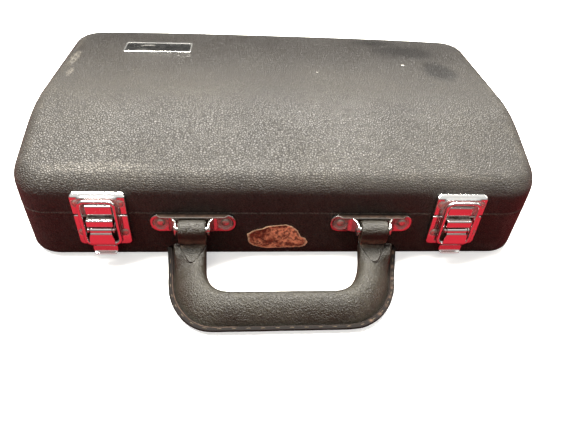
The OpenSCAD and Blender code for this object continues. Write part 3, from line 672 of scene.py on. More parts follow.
def lid_ring(i, a, t, drop, o=O):
    a = math.radians(a)
    er = LID_R + (FRONT_R - LID_R) * np.maximum(-o[:, 3], 0) ** 2
    r = np.maximum(er - i, 1.5)
    g = i + r * (1 - math.cos(a)) + LID_DRAFT * 30
    x0, y0 = o[:, 0] - o[:, 2] * g, o[:, 1] - o[:, 3] * g
    sx = np.clip(o[:, 0], -SPINE, SPINE)
    x, y = x0 + (sx - x0) * t, y0 * (1 - t)
    return np.stack([x, y, lid_top(x, y) - drop - r * (1 - math.sin(a))], 1)


def lid_wall(i, z, o=O):
    g = i + LID_DRAFT * (z - SEAM)
    return np.stack([o[:, 0] - o[:, 2] * g, o[:, 1] - o[:, 3] * g, np.full(len(o), z)], 1)


def base_ring(i, a, t, o=O):
    a = math.radians(a)
    r = max(BASE_R - i, 1.5)
    g = i + r * (1 - math.cos(a)) + BASE_DRAFT * (SEAM - i - r * (1 - math.sin(a)))
    x0, y0 = o[:, 0] - o[:, 2] * g, o[:, 1] - o[:, 3] * g
    sx = np.clip(o[:, 0], -SPINE, SPINE)
    return np.stack([x0 + (sx - x0) * t, y0 * (1 - t), np.full(len(o), i + r * (1 - math.sin(a)))], 1)


def base_wall(i, z, o=O):
    g = i + BASE_DRAFT * (SEAM - z)
    return np.stack([o[:, 0] - o[:, 2] * g, o[:, 1] - o[:, 3] * g, np.full(len(o), z)], 1)


def shells():
    n = len(O)
    # lid: outside from the middle of the top to the rim, then the inside
    rings, edge, rim = [], [], []

    def add(r, e=0.0, m=0.0):
        rings.append(r)
        edge.append([e] * n)
        rim.append([m] * n)
    for t in np.linspace(1, 0, 30):
        add(lid_ring(0, 90, t, 0), e=float(smooth01(0.06, 0.0, t)) * 0.35)
    for a in np.linspace(84, 0, 15):
        add(lid_ring(0, a, 0, 0), e=float(math.sin(math.radians(a))) ** 1.5)
    z_low = SEAM + 0.15
    for z in (49.0, 46.0, 43.0, 41.0, z_low + 0.55):
        add(lid_wall(0, z), e=0.15)
    for a in (20, 45, 70, 90):
        q = math.radians(a)
        add(lid_wall(0.5 * (1 - math.cos(q)), z_low + 0.5 * (1 - math.sin(q))), m=1.0)
    add(lid_wall(2.7, z_low))
    add(lid_wall(3.0, z_low + 0.3))
    add(lid_wall(3.0, 44))
    for a in (0, 30, 60, 90):
        add(lid_ring(3, a, 0, 3))
    for t in (0.2, 0.4, 0.6, 0.8, 1.0):
        add(lid_ring(3, 90, t, 3))
    upper = rings_object("upper_case", rings, caps=(False, False), attrs={"edge": edge, "rim": rim}, merge=0.004)
    place_piece(upper, "lid", ["upper_shell"], M_LID)
    # base
    rings, edge, rim = [], [], []
    for t in (1.0, 0.8, 0.6, 0.4, 0.2, 0.08, 0.0):
        add(base_ring(0, 90, t), e=0.3 if t < 0.1 else 0.0)
    for a in np.linspace(80, 0, 9):
        add(base_ring(0, a, 0), e=float(math.sin(math.radians(a + 8))) ** 2)
    z_top = SEAM - 0.15
    for z in (14, 22, 30, 36, z_top - 0.6):
        add(base_wall(0, z), e=0.1)
    for a in (0, 25, 50, 75, 90):
        q = math.radians(a)
        add(base_wall(0.55 * (1 - math.cos(q)), z_top - 0.55 * (1 - math.sin(q))), m=1.0)
    add(base_wall(2.7, z_top))
    add(base_wall(3.0, z_top - 0.3))
    add(base_wall(3.0, 20))
    for a in (0, 30, 60, 90):
        add(base_ring(3, a, 0))
    for t in (0.2, 0.4, 0.6, 0.8, 1.0):
        add(base_ring(3, 90, t))
    lower = rings_object("lower_case", rings, caps=(False, False), attrs={"edge": edge, "rim": rim}, merge=0.004)
    place_piece(lower, "base", ["lower_shell"], M_BASE)


# ------------------------------------------------------------------ plush
def inside_goods():
    # tray: one sheet of plush drawn over the block, as a height field with soft lips
    step = 1.6
    a, b, r = CASE_W / 2 - 5.75, CASE_D / 2 - 5.75, CORNER - 5.75
    nx, ny = int(2 * a / step), int(2 * b / step)
    xs, ys = np.linspace(-a, a, nx), np.linspace(-b, b, ny)
    X, Y = np.meshgrid(xs, ys, indexing="ij")
    top = 40.9
    Z = np.full_like(X, top)

    def trough(x0, x1, yc, rad, zc=41.0):
        m = (X > x0) & (X < x1) & (np.abs(Y - yc) < rad)
        z = zc - np.sqrt(np.maximum(rad ** 2 - (Y - yc) ** 2, 0))
        Z[m] = np.minimum(Z[m], z[m])
    trough(-162, 86, -68, 19)
    trough(94, 162, -68, 17)
    trough(-162, 62, -24, 17)
    trough(70, 162, -24, 16)
    rad = 40.5 + (20 - 40.5) * (X + 162) / 112
    m = (X > -162) & (X < -50) & (np.abs(Y - 47) < rad)
    z = 47 - np.sqrt(np.maximum(rad ** 2 - (Y - 47) ** 2, 0))
    Z[m] = np.minimum(Z[m], z[m])
    for x0, x1 in ((-38, 58), (66, 162)):
        m = (X > x0) & (X < x1) & (Y > 5) & (Y < 87)
        Z[m] = 9.4
    # soften every lip and floor corner
    for _ in range(2):
        P = np.pad(Z, 1, mode="edge")
        Z = (P[:-2, 1:-1] + P[2:, 1:-1] + P[1:-1, :-2] + P[1:-1, 2:] + 4 * P[1:-1, 1:-1]) / 8
    Z += np.array([[0.22 * fbm(x, y, 0.0, 0.045, 3) for y in ys] for x in xs])
    # corners of the outline: pull the grid onto the rounded rectangle
    qx, qy = np.abs(X) - (a - r), np.abs(Y) - (b - r)
    corner = (qx > 0) & (qy > 0)
    u, v = np.where(corner, qx / r, 0), np.where(corner, qy / r, 0)
    cu, cv = u * np.sqrt(1 - v * v / 2), v * np.sqrt(1 - u * u / 2)
    X2 = np.where(corner, np.sign(X) * (a - r + cu * r), X)
    Y2 = np.where(corner, np.sign(Y) * (b - r + cv * r), Y)
    # the border of the sheet turns down
    edge_d = np.minimum(a - np.abs(X2), b - np.abs(Y2))
    dc = np.where(corner, r - np.hypot(np.abs(X2) - (a - r), np.abs(Y2) - (b - r)), edge_d)
    d = np.minimum(edge_d, dc)
    Z = Z - np.where(d < 2.5, 2.5 - np.sqrt(np.maximum(2.5 ** 2 - (2.5 - d) ** 2, 0)), 0)
    verts = [(X2[i, j], Y2[i, j], Z[i, j]) for i in range(nx) for j in range(ny)]
    faces = grid_faces(nx, ny, wrap_n=False)
    border = [i * ny for i in range(nx)] + [(nx - 1) * ny + j for j in range(1, ny)] + [i * ny + ny - 1 for i in range(nx - 2, -1, -1)] + [j for j in range(ny - 2, 0, -1)]
    prev = border
    for z, sc in ((30.0, 1.0), (9.0, 1.0), (7.6, 0.985), (3.1, 0.98)):
        cur = []
        for k in border:
            x, y, _ = verts[k]
            cur.append(len(verts))
            verts.append((x * sc if sc < 1 else x, y * sc if sc < 1 else y, z))
        for k in range(len(border)):
            k2 = (k + 1) % len(border)
            faces.append((prev[k], prev[k2], cur[k2], cur[k]))
        prev = cur
    faces.append(tuple(prev))
    tray = mesh_object("plush_tray", verts, faces)
    place_piece(tray, "base", ["tray_lower_joint", "tray_barrel", "tray_upper_joint", "tray_mouthpiece", "tray_bell_corner", "tray_box_corner"], M_PLUSH)
    # lid lining: crowned pad, slightly quilted where it is glued
    o = outline(60, 30, 10)
    rings = []
    for t in np.linspace(1, 0, 24):
        rings.append(lid_ring(4.7, 90, t, 3.7, o))
    for a_ in (70, 45, 20, 0):
        rings.append(lid_ring(4.7, a_, 0, 3.7, o))
    rings.append(lid_wall(4.7, 48, o))
    rings.append(lid_wall(5.0, 46.4, o))
    rings.append(lid_wall(6.2, 46.05, o))
    rings.append(lid_wall(7.3, 46.5, o))
    rings.append(lid_wall(7.5, 49, o))
    for a_ in (0, 30, 60, 90):
        rings.append(lid_ring(7.5, a_, 0, 6.4, o))
    for t in np.linspace(0.05, 1, 26):
        ring = lid_ring(7.5, 90, t, 6.4, o)
        x, y = ring[:, 0], ring[:, 1]
        puff = 1.1 * np.cos(x / 29.0) * np.cos(y / 24.0) * smooth01(0.02, 0.25, t)
        ring[:, 2] += puff * 0.5 + 0.45
        rings.append(ring)
    lining = rings_object("plush_lid_lining", rings, caps=(False, False), merge=0.004)
    place_piece(lining, "lid", ["lid_lining"], M_PLUSH)


# ------------------------------------------------------------------ sheet metal on the front wall
def wall_place(cx):
    """(y', z, x') to the row frame, for something on the front wall about x = cx"""
    return lambda y, z, x: (cx + x, FRONT - y, z)


def pressed(name, cx, w, z0, z1, radii, height, y0=0.1, insets=None, sharp=None, mark=None, k=7, nw=26, nh=16):
    """pressed plate: rings of a rounded rectangle, each point raised by height(x, z, inset)"""
    h = z1 - z0
    zc = (z0 + z1) / 2
    full = min(w, h) / 2
    if insets is None:
        insets = [0.0, 0.05, 0.15, 0.3, 0.5, 0.75, 1.05, 1.4, 1.8]
        while insets[-1] < full - 0.5:
            insets.append(insets[-1] + 0.42)
    insets = [d for d in insets if d < full - 0.02] + [full - 0.004]
    rs = list(radii) if hasattr(radii, "__len__") else [radii] * 4
    rings, marks = [], []
    first = rrect(w, h, rs, k, nw, nh)
    rings.append([(cx + u, FRONT - y0, zc + v) for u, v, _, _ in first])
    marks.append([0.0] * len(first))
    for d in insets:
        ring, mk = [], []
        for u, v, _, _ in rrect(w - 2 * d, h - 2 * d, [max(q - d, 0.02) for q in rs], k, nw, nh):
            ring.append((cx + u, FRONT - height(u, zc + v, d), zc + v))
            mk.append(mark(u, zc + v, d) if mark else 0.0)
        rings.append(ring)
        marks.append(mk)
    return rings_object(name, rings, caps=(True, True), sharp=sharp, attrs={"mark": marks}, merge=0.002)


def roll(d, r, drop=None):
    """loss of height near an edge rounded to radius r"""
    if d >= r:
        return 0.0
    full = r - math.sqrt(max(r * r - (r - d) ** 2, 0))
    return full if drop is None else full / r * drop


def arch_distance(x, z, hw, top, r):
    """distance to an inverted U: half width hw, crown at height top, corner radius r"""
    ax = abs(x)
    if ax <= hw - r and z > top - r:
        return abs(z - top)
    if z <= top - r:
        return abs(ax - hw)
    return abs(math.hypot(ax - (hw - r), z - (top - r)) - r)


def domed_rivet(name, x, z, face, r, side=-1, dome=1.1):
    y = (FRONT if side < 0 else REAR)
    prof = [(0.0, dome), (r * 0.28, dome * 0.97), (r * 0.52, dome * 0.86), (r * 0.72, dome * 0.68), (r * 0.88, dome * 0.42), (r * 0.97, dome * 0.16), (r, 0.02), (r * 0.96, -0.12),
            (1.45, -0.14), (1.45, -(face + 3.3)), (2.5, -(face + 3.34)), (2.35, -(face + 4.0)), (0.0, -(face + 4.08))]
    return lathe(name, prof, (x, y + side * face, z), (0, side, 0), n=32, sharp=60, attr=lambda q, h: 1.0 if (h > 0.15 and q > r * 0.8) or h < 0.1 else 0.25)


def latch(tag, s):
    cx = 118.0 * s
    at = wall_place(cx)
    # ---- strike on the lid
    def strike_h(x, z, d):
        hgt = 3.2
        if z > 53.2:
            hgt -= (z - 53.2) / (55.4 - 53.2) * 2.3
        bead = arch_distance(x, z, 13.4, 52.7, 4.6)
        if z < 49.5:
            bead += (49.5 - z) * 0.45
        if bead < 0.95:
            hgt += 0.85 * math.sqrt(max(1 - (bead / 0.95) ** 2, 0))
        ring = math.hypot(abs(x) - 13.4, z - 48.6)
        if 2.3 < ring < 3.3:
            hgt -= 0.16 * math.sin((ring - 2.3) * math.pi)
        return max(hgt - roll(d, 0.9), 0.35)
    # mark: tarnish round the rivets; inside the bail's arch the plate is darkened as painted shade behind the ring and
    # hook
    plate = pressed("tmp", cx, 34.2, 39.6, 55.38, [3.0, 3.0, 0.9, 0.9], strike_h,
                    mark=lambda x, z, d: max(0.7 * float(smooth01(3.5, 2.7, math.hypot(abs(x) - 13.4, z - 48.6))), 0.85 * float(smooth01(12.6, 11.6, abs(x))) * float(smooth01(52.2, 51.6, z))), nw=44, nh=24)
    hook_path = resample(fillet([(2.5, 40.5), (4.55, 40.6), (4.6, 46.4), (4.15, 47.55)], [0.9, 1.2]), 0.3)
    hook = sheet("tmp", hook_path, 1.15, 8.15, at, r=0.3, nx=10, end_r=0.57)
    strike = join(f"{tag}_strike_plate", [paint(plate, M_CHROME), paint(hook, M_CHROME)])
    place_piece(strike, "lid", [f"{tag}_strike"])
    # ---- plate on the base, with its bridge and ears
    def plate_h(x, z, d):
        hgt = 3.2
        ring = math.hypot(abs(x) - 13.4, z - 25)
        if 2.3 < ring < 3.3:
            hgt -= 0.16 * math.sin((ring - 2.3) * math.pi)
        # dish between the rails
        hgt -= 1.7 * float(smooth01(11.0, 10.3, abs(x))) * float(smooth01(17.2, 18.0, z)) * float(smooth01(37.9, 37.3, z))
        return max(hgt - roll(d, 0.95), 0.35)
    # mark: tarnish round the rivets; the dish between the rails is darkened as painted shade
    body = pressed("tmp", cx, 34.2, 14.34, 38.88, [1.2, 1.2, 3.3, 3.3], plate_h,
                   mark=lambda x, z, d: max(0.7 * float(smooth01(3.5, 2.7, math.hypot(abs(x) - 13.4, z - 25))), float(smooth01(11.4, 10.6, abs(x))) * float(smooth01(16.8, 17.6, z))), nw=44, nh=30)
    bridge_path = resample(fillet([(2.7, 38.0), (7.85, 38.0), (7.95, 33.3)], [1.0]), 0.3)
    # painted shadow: the bridge's top next to the plate is darkened through its mark
    bridge = sheet("tmp", bridge_path, 0.95, 8.3, at, r=0.28, nx=10, attr=lambda u, x, y: float(smooth01(0.42, 0.34, u)))
    body.data.materials.append(M_CHROME)
    body.data.materials.append(M_SHADE_AND_GRIME)
    # painted shade: the dish's faces take the dark material
    for q in body.data.polygons:
        c = q.center / MM
        if abs(c.x - cx) < 11.0 and 17.1 < c.z < 38.0 and FRONT - c.y < 2.95:
            q.material_index = 1
    ears = []
    for k in (-1, 1):
        outer = [(2.8, 26.0), (5.7, 28.3)] + [(7.0 + 1.9 * math.cos(math.radians(q)), 30 + 1.9 * math.sin(math.radians(q))) for q in range(-80, 95, 12)] + [(5.4, 32.0), (2.8, 33.6)]
        ears.append(prism("tmp", outer, cx + k * 8.0, 0.9, 0.16))
    base = join(f"{tag}_base_plate", [body] + [paint(o, M_CHROME) for o in [bridge] + ears])
    place_piece(base, "base", [f"{tag}_plate"])
    # ---- lever: roll, tongue, step back, tab and lip
    arc = [(7.0 + 1.55 * math.cos(math.radians(q)), 30 + 1.55 * math.sin(math.radians(q))) for q in range(250, -1, -14)]
    path = arc + [(8.35, 28.9), (9.15, 28.25), (9.35, 27.3), (9.55, 20.9), (9.25, 19.4), (7.0, 17.45), (6.45, 16.5), (6.42, 12.5), (6.75, 11.55), (8.9, 10.45)]
    path = resample(fillet(path, 1.1, 4), 0.34)
    total = len(path)
    zz = path[:, 1]

    def lever_half(u):
        z = float(np.interp(u, np.linspace(0, 1, total), zz))
        i = int(u * (total - 1))
        if path[i][0] < 8.3 and z > 28.2:
            return 6.85
        wide = float(np.interp(z, [10.3, 11.2, 12.5, 14.0, 16.5, 17.5, 18.6, 21.0, 23.8, 26.5, 28.6], [6.5, 7.4, 7.9, 8.0, 7.7, 7.5, 7.6, 8.0, 7.95, 7.3, 6.7]))
        return wide
    # painted shade: darkens the fold below the roll and the step back under the tongue
    def painted_crease_shade(u, x, y):
        z = float(np.interp(u, np.linspace(0, 1, total), zz))
        return 0.9 * math.exp(-((z - 28.6) / 0.35) ** 2) + 0.5 * float(smooth01(18.9, 17.9, z)) * float(smooth01(15.8, 16.8, z))
    blade = sheet("tmp", path, 0.92, lever_half, at, r=0.28, nx=12, end_r=0.45, attr=painted_crease_shade)
    knuckle = []
    for k in (-1, 1):
        ring = [(6.9 + 2.15 * math.cos(math.radians(q)), 18.8 + 2.15 * math.sin(math.radians(q))) for q in range(75, 316, 12)] + [(9.4, 18.9), (9.5, 21.2)]
        knuckle.append(prism("tmp", ring, cx + k * 6.7, 1.6, 0.2))
    lever = join(f"{tag}_lever_blade", [paint(o, M_CHROME) for o in [blade] + knuckle])
    place_piece(lever, f"lever_{tag.split('_')[1]}", [f"{tag}_lever"])
    # ---- bail
    hw, zb, zt, rt, rb, yb = 10.95, 18.8, 52.5, 4.4, 3.4, 6.9
    pts = []
    for (x, z, q, a0) in ((hw - rt, zt - rt, rt, 0), (-(hw - rt), zt - rt, rt, 90), (-(hw - rb), zb + rb, rb, 180), (hw - rb, zb + rb, rb, 270)):
        for j in range(9):
            a = math.radians(a0 + 90 * j / 8)
            pts.append((x + q * math.cos(a), z + q * math.sin(a)))
    loop = np.array(pts + [pts[0]])
    loop = resample(loop, 0.9)[:-1]
    bail = tube(f"{tag}_bail_ring", [(cx + x, FRONT - yb, z) for x, z in loop], 1.3, n=18, closed=True)
    place_piece(bail, f"bail_{tag.split('_')[1]}", [f"{tag}_bail"], M_CHROME)
    # ---- pin with rounded ends
    half = 9.05
    prof = [(0.0, -half), (0.45, -half + 0.05), (0.78, -half + 0.22), (0.9, -half + 0.5), (0.9, half - 0.5), (0.78, half - 0.22), (0.45, half - 0.05), (0.0, half)]
    pin = lathe(f"{tag}_pivot", prof, (cx, FRONT - 7.0, 30.0), (1, 0, 0), n=20)
    place_piece(pin, "base", [f"{tag}_pin"], M_PIN)


def prism(name, outline_yz, x, width, bevel):
    """plate of constant thickness across, from an outline in (y', z), with rounded rims"""
    P = np.array(outline_yz, float)
    area = 0.5 * np.sum(P[:, 0] * np.roll(P[:, 1], -1) - np.roll(P[:, 0], -1) * P[:, 1])
    if area < 0:
        P = P[::-1]
    d = np.roll(P, -1, 0) - np.roll(P, 1, 0)
    d /= np.maximum(np.linalg.norm(d, axis=1, keepdims=True), 1e-9)
    inward = np.stack([-d[:, 1], d[:, 0]], 1)
    rings = []
    h = width / 2
    for side, off in [(-h, 1.0), (-h + 0.3 * bevel, 0.3), (-h + bevel, 0.0), (h - bevel, 0.0), (h - 0.3 * bevel, 0.3), (h, 1.0)]:
        Q = P + inward * bevel * off
        rings.append([(x + side, FRONT - q[0], q[1]) for q in Q])
    return rings_object(name, rings, sharp=40)


# ------------------------------------------------------------------ handle fittings
def bracket(tag, s):
    cx = 59.8 * s
    w, z0, z1 = 56.0, 24.64, 38.58

    def h(x, z, d):
        ax = abs(x)
        hgt = 2.2
        rr = math.hypot(ax - 21, z - 32.0)
        # dished lobes with a raised rim, and a ring round each rivet
        hgt -= 0.8 * float(smooth01(5.9, 3.6, rr))
        hgt += 0.25 * math.exp(-((rr - 4.0) / 0.5) ** 2)
        # two-step bar along the top
        along = float(smooth01(23.5, 20.5, ax))
        bar = 1.0 * float(smooth01(35.4, 35.8, z)) + 1.15 * float(smooth01(36.8, 37.9, z))
        hgt += bar * along
        # opening behind the strap
        hole = float(smooth01(9.9, 9.5, ax)) * float(smooth01(27.5, 27.9, z)) * float(smooth01(35.9, 35.5, z))
        hgt = hgt * (1 - hole) + 0.35 * hole
        return max(hgt - roll(d, 0.8), 0.3)

    def mark(x, z, d):
        ax = abs(x)
        top = float(smooth01(35.0, 35.6, z)) * float(smooth01(38.2, 37.9, z)) * float(smooth01(25.0, 21.0, ax))
        # painted shadow: the band just under the bar is darkened
        shadow_under_bar = float(smooth01(33.9, 34.5, z)) * float(smooth01(35.8, 35.3, z)) * float(smooth01(21.0, 17.5, ax))
        rr = math.hypot(ax - 21, z - 32.0)
        dirt = 0.75 * float(smooth01(5.4, 3.9, rr)) * float(smooth01(2.6, 3.0, rr))
        # painted shade: the opening behind the strap is darkened
        hole = 1.0 if ax < 10.4 and 27.2 < z < 35.8 else 0.0
        crest = 0.5 * float(smooth01(38.0, 38.3, z)) * float(smooth01(25.0, 21.0, ax))
        return max(0.9 * top, crest, shadow_under_bar, dirt, hole)
    insets = [0.0, 0.04, 0.12, 0.25, 0.42, 0.62, 0.85]
    while insets[-1] < 6.4:
        insets.append(insets[-1] + 0.27)
    plate = pressed("tmp", cx, w, z0, z1, [5.9, 5.9, 6.3, 6.3], h, insets=insets, mark=mark, k=10, nw=110, nh=6)
    parts = [paint(plate, M_BRACKET)]
    for k in (-1, 1):
        # wing: leaves the plate beside the rivet's ring and turns forward beside the strap
        path = resample(fillet([(16.3, 1.9), (13.4, 3.6), (10.85, 6.8), (10.5, 12.75)], [1.6, 2.6]), 0.35)
        n = len(path)
        rings, marks = [], []
        dd = np.gradient(path, axis=0)
        dd /= np.linalg.norm(dd, axis=1, keepdims=True)
        for i in range(n):
            u = i / (n - 1)
            y = path[i][1]
            zl = 26.4 + 2.4 * float(smooth01(3, 8, y))
            zh = 37.6 - 0.7 * float(smooth01(3, 8, y))
            if y > 9.2:
                q = min((y - 9.2) / 3.6, 0.995)
                f = (1 - q ** 3) ** (1 / 2.4)
                mid, half = 32.7, (zh - zl) / 2
                zl, zh = mid - half * f * 0.98, mid + half * f * 0.98
            th = 1.2 * (math.sqrt(max(1 - (1 - min(u * 9, 1)) ** 2, 0.05)))
            nx_, ny_ = -dd[i][1], dd[i][0]
            ring, mk = [], []
            for (a, b, _, _) in rrect(th, zh - zl, min(0.32, th * 0.45), k=3, nw=2, nh=8):
                ring.append((cx + k * (path[i][0] + nx_ * a), FRONT - (path[i][1] + ny_ * a), (zl + zh) / 2 + b))
                mk.append(0.1)
            rings.append(ring)
            marks.append(mk)
        wing = rings_object("tmp", rings, sharp=45, attrs={"mark": marks})
        parts.append(paint(wing, M_BRACKET))
    plate.data.materials.append(M_SHADE_AND_GRIME)
    # dark material on the top side of the bar, and on the opening behind the strap as painted shade
    for q in plate.data.polygons:
        c = q.center / MM
        if (q.normal.z > 0.75 and c.z > 37.5) or (abs(c.x - cx) < 9.7 and 27.7 < c.z < 35.7 and FRONT - c.y < 1.2):
            q.material_index = 1
    ob = join(f"{tag}_bracket_plate", parts)
    place_piece(ob, "base", [f"{tag}_bracket"])
    half = 12.0
    prof = [(0.0, -half), (0.9, -half + 0.1), (1.55, -half + 0.4), (1.95, -half + 0.9), (2.0, -half + 1.2), (2.0, half - 1.2), (1.95, half - 0.9), (1.55, half - 0.4), (0.9, half - 0.1), (0.0, half)]
    pin = lathe(f"{tag}_cross_pin", prof, (cx, FRONT - 9.6, 32.5), (1, 0, 0), n=28)
    place_piece(pin, "base", [f"{tag}_pin"], M_PIN)


# the legs of the grip rise towards the case; v is the distance in front of the wall
GRIP_END, NOTCH = 8.3, 16.0


def grip_z(v):
    return 10.4 - 2.1 * (v - 10.5) / 62 + 0.022 * max(26 - v, 0) ** 2


def grip_point(v, h):
    """(y', z) of a point h above the middle surface of the grip"""
    b = math.atan(0.034 + 0.044 * max(26 - v, 0))
    return v + h * math.sin(b), grip_z(v) + h * math.cos(b)


def strap(tag, s):
    cx = 59.8 * s
    R = 4.5
    py, pz = 9.6, 32.5
    # (y', z, half width, thickness), from the tip of the tongue up over the pin and down again behind
    path = []
    for v in np.linspace(GRIP_END + NOTCH - 0.6, GRIP_END + 0.3, 12):
        share = 1 - (v - GRIP_END) / NOTCH
        q = grip_point(v, 7.42)
        path.append((*q, 1.2 + 7.6 * share ** 0.92, 1.7))
    path += [(13.35, 24.9, 8.8, 2.3), (13.85, 27.2, 8.8, 2.7), (14.1, 29.8, 8.8, 3.0)]
    path += [(py + R * math.cos(math.radians(q)), pz + R * math.sin(math.radians(q)), 8.8, 3.1) for q in range(0, 241, 15)]
    path += [(7.0, 26.2, 8.7, 2.9), (7.3, 23.4, 8.6, 2.6), (8.8, 20.0, 8.5, 2.4), (11.4, 17.0, 8.4, 2.3), (14.6, 15.2, 8.3, 2.2), (17.4, 14.4, 8.2, 2.2)]
    P = smooth_path(path, 420)
    L = np.concatenate([[0], np.cumsum(np.linalg.norm(np.diff(P[:, :2], axis=0), axis=1))])
    S = np.linspace(0, L[-1], int(L[-1] / 0.45))
    P = np.stack([np.interp(S, L, P[:, k]) for k in range(4)], 1)
    share = S / L[-1]
    ob = sheet(f"{tag}_strap_band", P[:, :2], lambda u: float(np.interp(u, share, P[:, 3])), lambda u: float(np.interp(u, share, P[:, 2])), wall_place(cx), r=0.85, nx=14, end_r=0.8, sharp=None)
    # a slight crown across, and small folds where it bends
    for v in ob.data.vertices:
        x, y, z = v.co / MM
        x -= cx
        out = Vector((0, y - (FRONT - py), z - pz))
        if out.length > 0.1:
            low = float(smooth01(29.0, 22.0, z))
            fold = 0.16 * (1 - 0.7 * low) * fbm(x, y, z, 0.22, 3) + 0.22 * low * fbm(x * 0.35, z, 2.0, 0.7, 2) * float(smooth01(22.5, 24.5, z))
            crown = 0.25 * (1 - (x / 8.8) ** 2) * (1 - low) - 0.006 * x * x * low
            v.co += out.normalized() * (fold + crown) * MM
    me = ob.data
    if "dark" not in me.attributes:
        me.attributes.new("dark", "FLOAT", "POINT")
    me.attributes["mark"].data.foreach_set("value", [0.5 * float(smooth01(30.5, 27.5, v.co.z / MM)) * float(smooth01(21.5, 23.5, v.co.z / MM)) for v in me.vertices])
    place_piece(ob, "handle", [f"{tag}_strap"], M_LEATHER)


def evenly(points, n):
    P = np.array(points, float)
    L = np.concatenate([[0], np.cumsum(np.linalg.norm(np.diff(P, axis=0), axis=1))])
    s = np.linspace(0, L[-1], n)
    return np.stack([np.interp(s, L, P[:, k]) for k in range(P.shape[1])], 1)


def in_thirds(points, v_turn, x_turn, counts):
    """a half of the grip's edge as leg, bend and bar, each evenly spaced, so that both edges match"""
    P = smooth_path(points, 700)
    i = int(np.argmax(P[:, 1] >= v_turn))
    j = int(np.argmax(np.abs(P[:, 0]) <= x_turn))
    return np.vstack([evenly(P[:i + 1], counts[0] + 1)[:-1], evenly(P[i:j + 1], counts[1] + 1)[:-1], evenly(P[j:], counts[2] + 1)])


